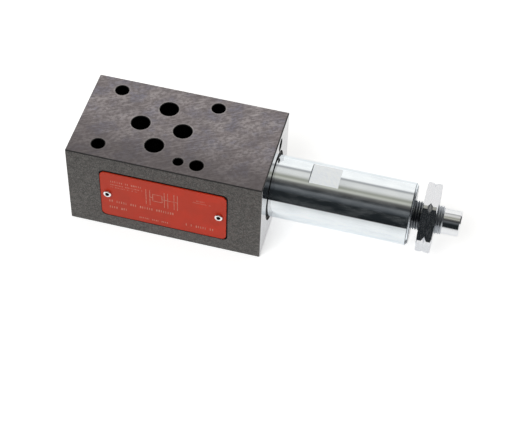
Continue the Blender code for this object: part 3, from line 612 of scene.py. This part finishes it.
PLATE_EDGE = 0.06 * MM
ENAMEL_LEFT = (0.61, 0.051, 0.023)
ENAMEL_RIGHT = (0.67, 0.048, 0.019)
ENAMEL_DULL = (0.36, 0.045, 0.022)
plate = rounded_slab("enamelled_plate", plate_low, plate_high, PLATE_CORNER, PLATE_EDGE)
rivet_holes = []
for middle in rivet_middles:
    start = middle - Vector((0, PAST, 0))
    rivet_holes.append(drilled(start, middle + Vector((0, PAST, 0)), RIVET_HOLE_RADIUS, 48))
carve(plate, rivet_holes)

enamel, shader, spot = new_finish("orange_enamel")
x, y, z = split(spot)
tint = grain(spot, 0.12)
peel = grain(spot, 1.6, detail=2.0)
# The enamel is a little brighter red towards the right.
enamel_left_to_right = mix(fade(x, plate_low.x / MM, plate_high.x / MM), ENAMEL_LEFT, ENAMEL_RIGHT)
plug(shader, {
    "Base Color": mix(fade(tint, 0.35, 0.65) * 0.22, enamel_left_to_right, ENAMEL_DULL),
    "Roughness": 0.36 + fade(peel, 0.3, 0.7) * 0.10,
    "Specular IOR Level": 0.25,
    "Normal": bump(peel, 0.004 * MM),
})
dress(plate, enamel, replaced=["name_plate"])

PRINT_RISE = 0.012 * MM
LINE = 0.24    # a drawn line's width, in millimetres
TICK_SHARE = 0.55
WORD_GOES_ON = 0.82    # the chance that a tick isn't a word's last
draw = random.Random(7)
marks = []    # each a box on the plate: left, bottom, width, height, in millimetres from its corner


def word_row(left, bottom, length, height, letter):
    """A row of plain ticks, in groups like words."""
    at = left
    while at < left + length - letter:
        wide = letter * draw.uniform(0.45, 0.85)
        marks.append((at, bottom, wide * TICK_SHARE, height))
        at += letter if draw.random() < WORD_GOES_ON else letter * 2.2


word_row(4.5, 20.2, 13.5, 0.9, 0.75)
word_row(4.5, 18.6, 13.5, 0.55, 0.6)
word_row(4.5, 17.2, 12.0, 0.55, 0.6)
word_row(40.0, 19.6, 3.6, 0.6, 0.5)
word_row(38.5, 18.4, 8.0, 0.5, 0.5)
word_row(3.5, 8.3, 29.0, 1.3, 0.95)
word_row(3.5, 4.6, 8.5, 1.3, 0.95)
word_row(16.0, 2.2, 13.0, 0.8, 0.75)
word_row(35.5, 3.6, 13.0, 1.3, 0.95)
for left in (19.0, 20.6, 26.6, 28.0, 30.6, 32.0):
    marks.append((left, 11.5, LINE, 9.0))
for bottom in (14.2, 18.2):
    marks.append((21.8, bottom, 4.0, LINE))
for left in (21.8, 25.64):
    marks.append((left, 14.2, LINE, 4.0))
marks.append((20.6, 16.1, 1.2, LINE))
marks.append((25.8, 16.1, 6.2, LINE))

shape = bmesh.new()
for left, bottom, wide, high in marks:
    mark_low = Vector((plate_low.x + left * MM, plate_low.y - PRINT_RISE, plate_low.z + bottom * MM))
    size = Vector((wide * MM, PRINT_RISE, high * MM))
    add_box(shape, size, mark_low + size / 2)
plate_print = as_object(shape, "plate_print")
ink, shader, spot = new_finish("pale_print")
rubbed = grain(spot, 0.8)
plug(shader, {
    "Base Color": mix(fade(rubbed, 0.35, 0.7), (0.74, 0.34, 0.25), (0.60, 0.17, 0.11)),
    "Roughness": 0.45,
})
dress(plate_print, ink)


# Plate rivets: two tubular aluminium rivets, set from the front. Head and shank are sections swept
# round a circle, and one tree puts a rivet on each of the two points.

CORNER_STEPS = 6


class Tree:
    """A Geometry Nodes tree with named inputs, which ends in Realize Instances and Set Material."""

    def __init__(self, name, inputs):
        self.group = bpy.data.node_groups.new(name, "GeometryNodeTree")
        self.group.is_modifier = True
        face = self.group.interface
        face.new_socket("Geometry", in_out="INPUT", socket_type="NodeSocketGeometry")
        face.new_socket("Geometry", in_out="OUTPUT", socket_type="NodeSocketGeometry")
        for label, kind in {**inputs, "Material": "Material"}.items():
            face.new_socket(label, in_out="INPUT", socket_type=f"NodeSocket{kind}")
        self.start = Socket(self.group).node("NodeGroupInput")

    def __getitem__(self, name):
        """One of the tree's inputs."""
        return self.start.output(name)

    def ring(self, radius, width, height, corner, facets):
        """A round-cornered section, so wide and high, swept round a circle in the XY plane."""
        quad = self.start.node(
            "GeometryNodeCurvePrimitiveQuadrilateral", sockets={"Width": width, "Height": height}
        )
        section = quad.node("GeometryNodeFilletCurve", {"mode": "POLY"}, {
            "Curve": quad,
            "Count": CORNER_STEPS,
            "Radius": corner,
        })
        circle = quad.node(
            "GeometryNodeCurvePrimitiveCircle", sockets={"Resolution": facets, "Radius": radius}
        )
        return circle.node("GeometryNodeCurveToMesh", sockets={"Curve": circle, "Profile Curve": section})

    def on_points(self, shape, turn):
        """A copy of a shape on each point of the tree's object."""
        return shape.node(
            "GeometryNodeInstanceOnPoints",
            sockets={"Points": self["Geometry"], "Instance": shape, "Rotation": turn},
        )

    def end(self, shape):
        """Realize what the tree made, give it its material and hand it out."""
        real = shape.node("GeometryNodeRealizeInstances", sockets={0: shape})
        dressed = real.node(
            "GeometryNodeSetMaterial", sockets={"Geometry": real, "Material": self["Material"]}
        )
        dressed.node("NodeGroupOutput", sockets={"Geometry": dressed})

    def grow(self, name, values, points=((0, 0, 0),), sharp=30):
        """A plain mesh from the tree, on an object that holds these points."""
        seed = bpy.data.meshes.new(name)
        seed.from_pydata([tuple(point) for point in points], [], [])
        made = bpy.data.objects.new(name, seed)
        bpy.context.scene.collection.objects.link(made)
        modifier = made.modifiers.new(name, "NODES")
        modifier.node_group = self.group
        for item in self.group.interface.items_tree:
            if item.name in values:
                modifier[item.identifier] = values[item.name]
        result = made.evaluated_get(bpy.context.evaluated_depsgraph_get())
        mesh = bpy.data.meshes.new_from_object(result)
        made.modifiers.clear()
        made.data = mesh
        tidy(mesh, sharp)
        return made


def tidy(mesh, sharp):
    """Close a mesh's seams, point its faces outwards and smooth its round faces."""
    shape = bmesh.new()
    shape.from_mesh(mesh)
    bmesh.ops.remove_doubles(shape, verts=shape.verts, dist=0.001 * MM)
    bmesh.ops.dissolve_degenerate(shape, edges=shape.edges, dist=0.0005 * MM)
    bmesh.ops.recalc_face_normals(shape, faces=shape.faces)
    shape.to_mesh(mesh)
    shape.free()
    smooth(mesh, sharp)


def weld(main, others, sharp=30):
    """Join open shells whose rims meet into one closed solid. The others go."""
    shape = bmesh.new()
    for piece in (main, *others):
        shape.from_mesh(piece.data)
    shape.to_mesh(main.data)
    shape.free()
    tidy(main.data, sharp)
    for piece in others:
        bpy.data.objects.remove(piece)


HEAD_HEIGHT = 0.8 * MM
HEAD_ROUNDING = 0.35 * MM
HOLLOW_RADIUS = 0.75 * MM
RIVET_SHANK_RADIUS = 1.1 * MM
RIVET_SHANK_ROUNDING = 0.05 * MM
RIVET_FACETS = 48
rivet_low, rivet_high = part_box("plate_rivet_left")
rivets = Tree("tubular_rivets", {
    "Head Radius": "Float",
    "Head Height": "Float",
    "Head Rounding": "Float",
    "Hollow Radius": "Float",
    "Shank Radius": "Float",
    "Shank Length": "Float",
})
head = rivets.ring(
    (rivets["Head Radius"] + rivets["Hollow Radius"]) / 2,
    rivets["Head Radius"] - rivets["Hollow Radius"],
    rivets["Head Height"],
    rivets["Head Rounding"],
    RIVET_FACETS,
)
shank = rivets.ring(
    (rivets["Shank Radius"] + rivets["Hollow Radius"]) / 2,
    rivets["Shank Radius"] - rivets["Hollow Radius"],
    rivets["Shank Length"],
    RIVET_SHANK_ROUNDING,
    RIVET_FACETS,
)
head_rise = head.node("ShaderNodeCombineXYZ", sockets={"Z": rivets["Head Height"] / 2})
shank_drop = head.node("ShaderNodeCombineXYZ", sockets={"Z": rivets["Shank Length"] * -0.5})
head = head.node("GeometryNodeTransform", sockets={"Geometry": head, "Translation": head_rise})
shank = shank.node("GeometryNodeTransform", sockets={"Geometry": shank, "Translation": shank_drop})
both = head.node("GeometryNodeJoinGeometry", sockets={"Geometry": head})
plug(both.socket.node, {"Geometry": shank})
rivets.end(rivets.on_points(both, (math.pi / 2, 0.0, 0.0)))


aluminium, shader, spot = new_finish("bright_aluminium")
x, y, z = split(spot)
front_view = x.node("ShaderNodeCombineXYZ", sockets={"X": x, "Z": z})
# Painted shade: the inside of each rivet's hollow is painted near black.
hollow_shades = []
for middle in rivet_middles:
    past_wall = distance_to(front_view, (middle.x / MM, 0.0, middle.z / MM)) - HOLLOW_RADIUS / MM
    hollow_shades.append(fade(past_wall, 0.12, 0.06))
bright = mix(grain(spot, 2.0), (0.90, 0.90, 0.89), (0.96, 0.96, 0.955))
plug(shader, {
    "Base Color": mix(highest(*hollow_shades), bright, (0.02, 0.02, 0.02)),
    "Metallic": 1.0,
    "Roughness": 0.16 + grain(spot, 3.0) * 0.1,
})
pair = rivets.grow("tubular_rivets", {
    "Head Radius": (rivet_high.x - rivet_low.x) / 2,
    "Head Height": HEAD_HEIGHT,
    "Head Rounding": HEAD_ROUNDING,
    "Hollow Radius": HOLLOW_RADIUS,
    "Shank Radius": RIVET_SHANK_RADIUS,
    "Shank Length": rivet_high.y - rivet_low.y - HEAD_HEIGHT,
    "Material": aluminium,
}, [Vector((m.x, rivet_low.y + HEAD_HEIGHT, m.z)) for m in rivet_middles])
dress(pair, aluminium, replaced=["plate_rivet_left", "plate_rivet_right"])


# Barrel: free-cutting steel, turned, bored for the spring, milled with two spanner flats and plated
# bright. Its shank screws into the block's end face.

barrel_low, barrel_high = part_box("cartridge_housing")
BARREL_RADIUS = (barrel_high.y - barrel_low.y) / 2
BARREL_END = barrel_high.x
BARREL_START = 45.0 * MM
BARREL_CHAMFER = 1.0 * MM
CHAMFER_EASE = 0.02 * MM    # how little the chamfer's two edges are rounded
SCREW_HOLE = 5.96 * MM
SCREW_HOLE_DEPTH = 6.2 * MM
SCREW_HOLE_EDGE = 0.4 * MM
SHANK_RADIUS = 10.7 * MM
NOSE_BORE_RADIUS = 9.2 * MM
NOSE_BORE_END = 38.5 * MM
SPRING_BORE_RADIUS = 8.2 * MM
FLAT_ACROSS = 23.2 * MM
FLAT_START = 61.7 * MM
FLAT_END = 73.7 * MM
barrel_profile = [
    (SCREW_HOLE, BARREL_END - SCREW_HOLE_DEPTH),
    (SCREW_HOLE, BARREL_END - SCREW_HOLE_EDGE),
    (SCREW_HOLE + SCREW_HOLE_EDGE, BARREL_END),
    (BARREL_RADIUS - BARREL_CHAMFER, BARREL_END),
    (BARREL_RADIUS - BARREL_CHAMFER * 0.93, BARREL_END - CHAMFER_EASE),
    (BARREL_RADIUS - CHAMFER_EASE, BARREL_END - BARREL_CHAMFER * 0.93),
    (BARREL_RADIUS, BARREL_END - BARREL_CHAMFER),
    (BARREL_RADIUS, BARREL_START),
    (SHANK_RADIUS, BARREL_START),
    (SHANK_RADIUS, barrel_low.x),
    (NOSE_BORE_RADIUS, barrel_low.x),
    (NOSE_BORE_RADIUS, NOSE_BORE_END),
    (SPRING_BORE_RADIUS, NOSE_BORE_END),
    (SPRING_BORE_RADIUS, BARREL_END - SCREW_HOLE_DEPTH),
]
barrel = lathe("plated_barrel", barrel_profile, steps=192, ring=True)
flats = []
for side in (1, -1):
    shape = bmesh.new()
    size = Vector((FLAT_END - FLAT_START, 3 * BARREL_RADIUS, FLAT_ACROSS))
    add_box(shape, size, AXIS + Vector(((FLAT_START + FLAT_END) / 2, 0.0, side * FLAT_ACROSS)))
    flats.append(as_object(shape, "flat"))
FINE_CREASE = 12    # keeps the shallow chamfers crisp
carve(barrel, flats, sharp=FINE_CREASE)


def turned_marks(spot, fineness):
    """Fine turning marks: noise that runs round the cartridge's axis."""
    x, y, z = split(spot)
    y = y - AXIS.y / MM
    z = z - AXIS.z / MM
    radius = (y * y + z * z).maths("SQRT", y * y + z * z)
    across = x.node("ShaderNodeCombineXYZ", sockets={"X": x, "Y": radius})
    return grain(across, fineness, detail=2.0)


PLATING_DARK = (0.825, 0.868, 0.895)
PLATING_LIGHT = (0.855, 0.895, 0.918)
PLATING_SMUDGE = (0.62, 0.67, 0.71)
# Painted shade on the barrel's end and along the foot of the flats.
PLATING_PAINTED_SHADE = (0.075, 0.085, 0.095)
PLATING_TINT = (0.88, 0.91, 0.93, 1.0)
FLAT_DARK = (0.92, 0.96, 1.0)
FLAT_LIGHT = (0.97, 1.0, 1.0)
FLAT_ROUGHNESS = 0.26

plating, shader, spot = new_finish("bright_plating")
turning = turned_marks(spot, 3.0)
sheen = grain(spot, 0.15, detail=2.0)
smudge = grain(spot, 0.30, (0.25, 1.0, 1.0), detail=6.0)
haze = grain(spot, 0.45, (0.28, 1.0, 1.0), detail=5.0)
cutter_marks = grain(spot, 1.2, (0.25, 1.0, 1.0), turn=55.0, detail=4.0)
x, y, z = split(spot)
flat_start = FLAT_START / MM
flat_end = FLAT_END / MM
flat_rise = FLAT_ACROSS / 2 / MM
off_axis = z.maths("ABSOLUTE", z - AXIS.z / MM)
milled_flat = fade(x, flat_start - 0.05, flat_start) * fade(x, flat_end + 0.05, flat_end)
milled_flat = milled_flat * fade(off_axis, flat_rise + 0.04, flat_rise + 0.02)
milled_flat = milled_flat * fade(off_axis, flat_rise - 0.04, flat_rise - 0.02)
# Painted shade: a dark strip along the foot of each flat, at its start.
flat_foot_shade = fade(x, flat_start + 0.25, flat_start + 0.10) * milled_flat
from_end = BARREL_END / MM - x
bevel = BARREL_CHAMFER / MM
turned_end = fade(from_end, bevel + 0.05, bevel - 0.05)
inner_lip = fade(from_end, bevel - 0.30, bevel - 0.20)
outer_lip = fade(from_end, 0.25, 0.15)
# Painted shade: the end chamfer's two edges go dark, and the chamfer and end face go dark on their lower
# half.
underside = fade(z, AXIS.z / MM - 1.0, AXIS.z / MM - 3.0)
painted_lip_shade = turned_end * highest(highest(inner_lip, outer_lip) * 0.85, underside)
tone = mix(fade(sheen, 0.35, 0.65), PLATING_DARK, PLATING_LIGHT)
tone = mix(fade(smudge, 0.45, 0.70) * 0.30, tone, PLATING_SMUDGE)
tone = mix(milled_flat, tone, mix(fade(cutter_marks, 0.4, 0.65), FLAT_DARK, FLAT_LIGHT))
polish = 0.02 + fade(turning, 0.3, 0.7) * 0.03 + fade(smudge, 0.45, 0.75) * 0.05 + turned_end * 0.10
plug(shader, {
    "Base Color": mix(highest(painted_lip_shade, flat_foot_shade), tone, PLATING_PAINTED_SHADE),
    "Metallic": 1.0 - fade(haze, 0.42, 0.66) * 0.055,
    "Roughness": polish * (1.0 - milled_flat) + milled_flat * FLAT_ROUGHNESS,
    "Specular Tint": PLATING_TINT,
    "Normal": bump(turning, 0.0006 * MM),
})
dress(barrel, plating, replaced=["cartridge_housing"])


# Seal rings: moulded black rubber. The shoulder ring is squeezed round the barrel's root, and the four
# face rings lie in their recesses, level with the underside.

seals = Tree("seal_rings", {
    "Ring Radius": "Float",
    "Section Width": "Float",
    "Section Height": "Float",
    "Section Corner": "Float",
    "Turn": "Vector",
    "Facets": "Int",
})
sweep = seals.ring(
    seals["Ring Radius"],
    seals["Section Width"],
    seals["Section Height"],
    seals["Section Corner"],
    seals["Facets"],
)
seals.end(seals.on_points(sweep, seals["Turn"]))

PORT_SEAL_WIDTH = 1.9 * MM
ROUND_SHARE = 0.499    # a corner that is nearly half of a section's height makes it round
SQUEEZED_SHARE = 0.45

rubber, shader, spot = new_finish("black_rubber")
moulding = grain(spot, 4.0)
plug(shader, {
    "Base Color": mix(moulding, (0.006, 0.006, 0.0065), (0.014, 0.014, 0.0145)),
    "Roughness": 0.50 + moulding * 0.16,
    "Specular IOR Level": 0.25,
    "Normal": bump(moulding, 0.004 * MM),
})
ring_low, ring_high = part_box("shoulder_o_ring")
ring_outer = (ring_high.y - ring_low.y) / 2
section = ring_high.x - ring_low.x
shoulder_ring = seals.grow("shoulder_seal", {
    "Ring Radius": ring_outer - section / 2,
    "Section Width": section,
    "Section Height": section,
    "Section Corner": section * ROUND_SHARE,
    "Turn": (0.0, math.pi / 2, 0.0),
    "Facets": 128,
    "Material": rubber,
}, [AXIS + Vector(((ring_low.x + ring_high.x) / 2, 0.0, 0.0))])
dress(shoulder_ring, rubber, replaced=["shoulder_o_ring"])

port_rings = [f"port_o_ring_{letter}" for letter in "ptab"]
ring_low, ring_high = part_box(port_rings[0])
face_rings = seals.grow("port_seals", {
    "Ring Radius": (ring_high.x - ring_low.x - PORT_SEAL_WIDTH) / 2,
    "Section Width": PORT_SEAL_WIDTH,
    "Section Height": ring_high.z - ring_low.z,
    "Section Corner": (ring_high.z - ring_low.z) * SQUEEZED_SHARE,
    "Turn": (0.0, 0.0, 0.0),
    "Facets": 64,
    "Material": rubber,
}, [Vector((x, y, (ring_low.z + ring_high.z) / 2 / MM)) * MM for x, y in PORTS])
dress(face_rings, rubber, replaced=port_rings)


# Adjusting screw: turned and plated steel with a fine rolled thread, a plain end with a hexagon socket,
# and a round tip that pushes the spring's rear plate. The thread's flanks follow their helix, and run
# out into the plain ends.

screw_low, screw_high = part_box("adjusting_screw")
FACETS = 96
PITCH = 1.0 * MM
CREST_RADIUS = 5.9 * MM
ROOT_RADIUS = 5.32 * MM
SPINDLE_RADIUS = 5.15 * MM
SPINDLE_CHAMFER = 0.5 * MM
SPINDLE_START = screw_high.x - 6.8 * MM
THREAD_START = 97.0 * MM
NECK_RADIUS = 5.1 * MM
TIP_RADIUS = 2.9 * MM
TIP_START = 94.3 * MM
HEX_ACROSS = 5.0 * MM
HEX_DEPTH = 6.0 * MM
ROWS_A_TURN = 12
ROOT_ENDS = 0.16    # a flank climbs from the root here to the crest there, as parts of half a pitch
CREST_STARTS = 0.88
RUN_OUT = 0.7    # the thread rises to its full height in this many turns


def ramp(value, low, high):
    """A straight step: 0 at low and 1 at high."""
    return value.node("ShaderNodeMapRange", sockets={"Value": value, "From Min": low, "From Max": high})


def round_axis(station, radius, angle, axis):
    """A place at a station along an axis, so far out from it and at an angle round it."""
    place = radius.node("ShaderNodeCombineXYZ", sockets={
        "X": station,
        "Y": radius * angle.maths("COSINE", angle),
        "Z": radius * angle.maths("SINE", angle),
    })
    return place.node("ShaderNodeVectorMath", {"operation": "ADD"}, {0: place, 1: axis})


thread = Tree("helical_thread", {
    "Start": "Float",
    "End": "Float",
    "Pitch": "Float",
    "Crest Radius": "Float",
    "Root Radius": "Float",
    "End Radius": "Float",
    "Rows": "Int",
    "Facets": "Int",
    "Axis": "Vector",
})
grid = thread.start.node("GeometryNodeMeshGrid", sockets={
    "Size X": 1.0,
    "Size Y": 1.0,
    "Vertices X": thread["Rows"],
    "Vertices Y": thread["Facets"],
})
along, around, _ = split(grid.node("GeometryNodeInputPosition"))
turns = (thread["End"] - thread["Start"]) / thread["Pitch"] + 2.0
row = (along + 0.5) * turns
station = thread["Start"] + (row + around - 1.5) * thread["Pitch"]
station = lowest(highest(station, thread["Start"]), thread["End"])
wave = row.maths("ABSOLUTE", row.maths("FRACT", row) - 0.5) * 2.0
crest = ramp(wave, ROOT_ENDS, CREST_STARTS)
run_out = lowest(station - thread["Start"], thread["End"] - station) / thread["Pitch"]
cut_radius = thread["Root Radius"] + crest * (thread["Crest Radius"] - thread["Root Radius"])
radius = thread["End Radius"] + ramp(run_out, 0.0, RUN_OUT) * (cut_radius - thread["End Radius"])
place = round_axis(station, radius, around * math.tau, thread["Axis"])
thread.end(grid.node("GeometryNodeSetPosition", sockets={"Geometry": grid, "Position": place}))

SPINDLE_DARK = (0.74, 0.755, 0.775)
SPINDLE_LIGHT = (0.84, 0.85, 0.865)
# The thread is darker than the spindle: partly a darker, rougher finish, partly painted shade standing in
# for its grooves.
THREAD_DARK = (0.45, 0.470, 0.500)
THREAD_LIGHT = (0.60, 0.620, 0.645)
# Painted shade: the thread between the barrel and the nut is painted darker.
GAP_PAINTED_SHADE = (0.33, 0.345, 0.365)    # the thread between the barrel and the nut
GAP_SHADE_END = 107.3 * MM
SCREW_TINT = (0.85, 0.86, 0.87, 1.0)

screw_steel, shader, spot = new_finish("screw_plating")
turning = turned_marks(spot, 5.0)
x, y, z = split(spot)
threaded = fade(x, SPINDLE_START / MM, SPINDLE_START / MM - 0.3)
tone = mix(turning, SPINDLE_DARK, SPINDLE_LIGHT)
tone = mix(threaded, tone, mix(turning, THREAD_DARK, THREAD_LIGHT))
plug(shader, {
    "Base Color": mix(fade(x, GAP_SHADE_END / MM + 0.6, GAP_SHADE_END / MM), tone, GAP_PAINTED_SHADE),
    "Metallic": 1.0,
    "Roughness": 0.08 + fade(turning, 0.3, 0.7) * 0.08 + threaded * 0.18,
    "Specular Tint": SCREW_TINT,
    "Normal": bump(turning, 0.0010 * MM),
})
thread_turns = (SPINDLE_START - THREAD_START) / PITCH
screw = thread.grow("threaded_screw", {
    "Start": THREAD_START,
    "End": SPINDLE_START,
    "Pitch": PITCH,
    "Crest Radius": CREST_RADIUS,
    "Root Radius": ROOT_RADIUS,
    "End Radius": SPINDLE_RADIUS,
    "Rows": round(ROWS_A_TURN * (thread_turns + 2)) + 1,
    "Facets": FACETS + 1,
    "Axis": AXIS,
    "Material": screw_steel,
})
plain_end = lathe("plain_end", [
    (0.0, screw_high.x),
    (SPINDLE_RADIUS - SPINDLE_CHAMFER, screw_high.x),
    (SPINDLE_RADIUS, screw_high.x - SPINDLE_CHAMFER),
    (SPINDLE_RADIUS, SPINDLE_START),
], steps=FACETS)
tip = lathe("tip", [
    (SPINDLE_RADIUS, THREAD_START),
    (NECK_RADIUS, THREAD_START - (SPINDLE_RADIUS - NECK_RADIUS)),
    (NECK_RADIUS, TIP_START),
    (TIP_RADIUS, TIP_START),
    (TIP_RADIUS, screw_low.x + TIP_RADIUS / 4),
    (TIP_RADIUS / 2, screw_low.x),
    (0.0, screw_low.x),
], steps=FACETS)
weld(screw, [plain_end, tip])
HEX_CORNER = HEX_ACROSS / math.sqrt(3)
hex_profile = [(0.0, HEX_DEPTH), (HEX_CORNER, HEX_DEPTH), (HEX_CORNER, -PAST), (0.0, -PAST)]
hex_mouth = AXIS + Vector((screw_high.x, 0.0, 0.0))
carve(screw, [lathe("hex", hex_profile, hex_mouth, (-1, 0, 0), steps=6)], sharp=35)
dress(screw, screw_steel, "adjusting_screw", ["adjusting_screw"])


# Lock nut: a hexagon steel nut, turned with chamfered faces and a groove that leaves a V notch in each
# corner, then plated. It is run up the screw by hand and stands off the barrel.

nut_low, nut_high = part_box("lock_nut")
NUT_ACROSS = 25.4 * MM
NUT_TURN = math.radians(115.5)    # where its first corner stands
NUT_BORE_RADIUS = 5.96 * MM
NUT_RADIUS = 14.3 * MM    # the hexagon's corners are turned off to this
NUT_CHAMFER = 0.65 * MM
NOTCH_RADIUS = 13.55 * MM
NOTCH_HALF = 1.0 * MM
chamfer_run = NUT_CHAMFER * math.tan(math.radians(30))
nut_middle = (nut_low.x + nut_high.x) / 2
lock_nut = lathe("hexagon_lock_nut", [
    (NUT_BORE_RADIUS, nut_high.x),
    (NUT_RADIUS - NUT_CHAMFER, nut_high.x),
    (NUT_RADIUS, nut_high.x - chamfer_run),
    (NUT_RADIUS, nut_middle + NOTCH_HALF),
    (NOTCH_RADIUS, nut_middle),
    (NUT_RADIUS, nut_middle - NOTCH_HALF),
    (NUT_RADIUS, nut_low.x + chamfer_run),
    (NUT_RADIUS - NUT_CHAMFER, nut_low.x),
    (NUT_BORE_RADIUS, nut_low.x),
], steps=144, ring=True)
NUT_CORNER = NUT_ACROSS / math.sqrt(3)
hexagon = lathe("hexagon", [
    (0.0, nut_high.x + PAST),
    (NUT_CORNER, nut_high.x + PAST),
    (NUT_CORNER, nut_low.x - PAST),
    (0.0, nut_low.x - PAST),
], steps=6, first=NUT_TURN)
carve(lock_nut, [hexagon], "INTERSECT", FINE_CREASE)

nut_steel, shader, spot = new_finish("nut_plating")
brush = grain(spot, 3.0, (1.0, 0.12, 0.12))
brushed = fade(brush, 0.3, 0.7)
plug(shader, {
    "Base Color": mix(brushed, (0.715, 0.73, 0.757), (0.805, 0.81, 0.836)),
    "Metallic": 1.0,
    "Roughness": 0.20 + brushed * 0.10,
    "Specular Tint": (0.84, 0.85, 0.86, 1.0),
    "Normal": bump(brush, 0.0015 * MM),
})
dress(lock_nut, nut_steel, "lock_nut", ["lock_nut"])


# Gallery plug: a thin steel sleeve with a hard ball pressed into it, deep in the small hole in the end
# face, which closes the drilling to the tank port.

sleeve_low, sleeve_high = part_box("plug_sleeve")
ball_low, ball_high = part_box("plug_ball")
SLEEVE_BORE = 1.8 * MM
SLEEVE_FLOOR = 0.7 * MM
plug_axis = (sleeve_low + sleeve_high) / 2
plug_axis.x = 0.0
sleeve_radius = (sleeve_high.z - sleeve_low.z) / 2
sleeve = lathe("expanding_sleeve", [
    (0.0, sleeve_low.x + SLEEVE_FLOOR),
    (SLEEVE_BORE, sleeve_low.x + SLEEVE_FLOOR),
    (SLEEVE_BORE, sleeve_high.x),
    (sleeve_radius, sleeve_high.x),
    (sleeve_radius, sleeve_low.x),
    (0.0, sleeve_low.x),
], plug_axis, steps=64)
shape = bmesh.new()
ball_radius = (ball_high.z - ball_low.z) / 2
bmesh.ops.create_uvsphere(shape, u_segments=48, v_segments=24, radius=ball_radius)
bmesh.ops.translate(shape, vec=(ball_low + ball_high) / 2, verts=shape.verts)
ball = as_object(shape, "pressed_ball")

machined, shader, spot = new_finish("machined_steel")
tooling = grain(spot, 2.5, (1.0, 0.3, 0.3))
tooled = fade(tooling, 0.3, 0.7)
plug(shader, {
    "Base Color": mix(tooled, (0.50, 0.50, 0.49), (0.60, 0.60, 0.59)),
    "Metallic": 1.0,
    "Roughness": 0.22 + tooled * 0.12,
    "Normal": bump(tooling, 0.002 * MM),
})
dress(sleeve, machined, replaced=["plug_sleeve"])
dress(ball, machined, replaced=["plug_ball"])


# Inner cartridge: a ground seat sleeve and poppet, two spring guides of turned steel, a rubber ring
# between two white back-up rings on the nose, and a ring on the rear guide.

ptfe, shader, spot = new_finish("white_ptfe")
milkiness = grain(spot, 1.0)
plug(shader, {
    "Base Color": mix(milkiness, (0.70, 0.69, 0.65), (0.80, 0.79, 0.75)),
    "Roughness": 0.45 + milkiness * 0.1,
})
INNER = {
    "seat_sleeve": machined,
    "poppet": machined,
    "front_spring_guide": machined,
    "rear_spring_plate": machined,
    "nose_o_ring": rubber,
    "adjuster_o_ring": rubber,
    "nose_backup_ring_front": ptfe,
    "nose_backup_ring_rear": ptfe,
}
for name, finish in INNER.items():
    coat(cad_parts[name], finish)


# Pressure spring: oil-tempered wire, coiled with its end turns closed, between the poppet's guide and
# the rear plate. Its two halves meet at its middle turn.

spring_low, spring_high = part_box("pressure_spring")
WIRE_RADIUS = 1.5 * MM
SPRING_TURNS = 8
CLOSED_PITCH = 3.1 * MM
POINTS_A_TURN = 48
WIRE_FACETS = 16

coil = Tree("coil_spring", {
    "Start": "Float",
    "Closed Pitch": "Float",
    "Open Pitch": "Float",
    "Turns": "Int",
    "First Turn": "Float",
    "Last Turn": "Float",
    "Coil Radius": "Float",
    "Wire Radius": "Float",
    "Points": "Int",
    "Axis": "Vector",
})
line = coil.start.node("GeometryNodeCurvePrimitiveLine")
line = line.node("GeometryNodeResampleCurve", sockets={"Curve": line, "Count": coil["Points"]})
part = line.node("GeometryNodeSplineParameter")
turned = coil["First Turn"] + part * (coil["Last Turn"] - coil["First Turn"])
opened = lowest(highest(turned - 1.0, 0.0), coil["Turns"] - 2.0)
station = coil["Start"] + opened * coil["Open Pitch"] + (turned - opened) * coil["Closed Pitch"]
place = round_axis(station, coil["Coil Radius"], turned * math.tau, coil["Axis"])
route = line.node("GeometryNodeSetPosition", sockets={"Geometry": line, "Position": place})
wire = line.node("GeometryNodeCurvePrimitiveCircle", sockets={
    "Resolution": WIRE_FACETS,
    "Radius": coil["Wire Radius"],
})
coil.end(wire.node(
    "GeometryNodeCurveToMesh", sockets={"Curve": route, "Profile Curve": wire, "Fill Caps": True}
))

wire_steel, shader, spot = new_finish("spring_wire")
oxide = fade(grain(spot, 1.2, detail=4.0), 0.3, 0.7)
plug(shader, {
    "Base Color": mix(oxide, (0.24, 0.23, 0.22), (0.36, 0.35, 0.34)),
    "Metallic": 1.0,
    "Roughness": 0.30 + oxide * 0.15,
})
spring_length = spring_high.x - spring_low.x - 2 * WIRE_RADIUS
stations = [spring_low.x, (spring_low.x + spring_high.x) / 2, spring_high.x]
ends = [AXIS + Vector((where, 0.0, 0.0)) for where in stations]
HALVES = [("front", "poppet", "root"), ("rear", "root", "spring_plate")]
for i, (side, from_body, to_body) in enumerate(HALVES):
    spring = coil.grow(f"coil_spring_{side}", {
        "Start": spring_low.x + WIRE_RADIUS,
        "Closed Pitch": CLOSED_PITCH,
        "Open Pitch": (spring_length - 2 * CLOSED_PITCH) / (SPRING_TURNS - 2),
        "Turns": SPRING_TURNS,
        "First Turn": SPRING_TURNS / 2 * i,
        "Last Turn": SPRING_TURNS / 2 * (i + 1),
        "Coil Radius": (spring_high.y - spring_low.y) / 2 - WIRE_RADIUS,
        "Wire Radius": WIRE_RADIUS,
        "Points": SPRING_TURNS // 2 * POINTS_A_TURN + 1,
        "Axis": AXIS,
        "Material": wire_steel,
    })
    coat(spring, wire_steel)
    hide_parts("pressure_spring")
    tuple(ends[i])
    tuple(ends[i + 1])
    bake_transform(spring)
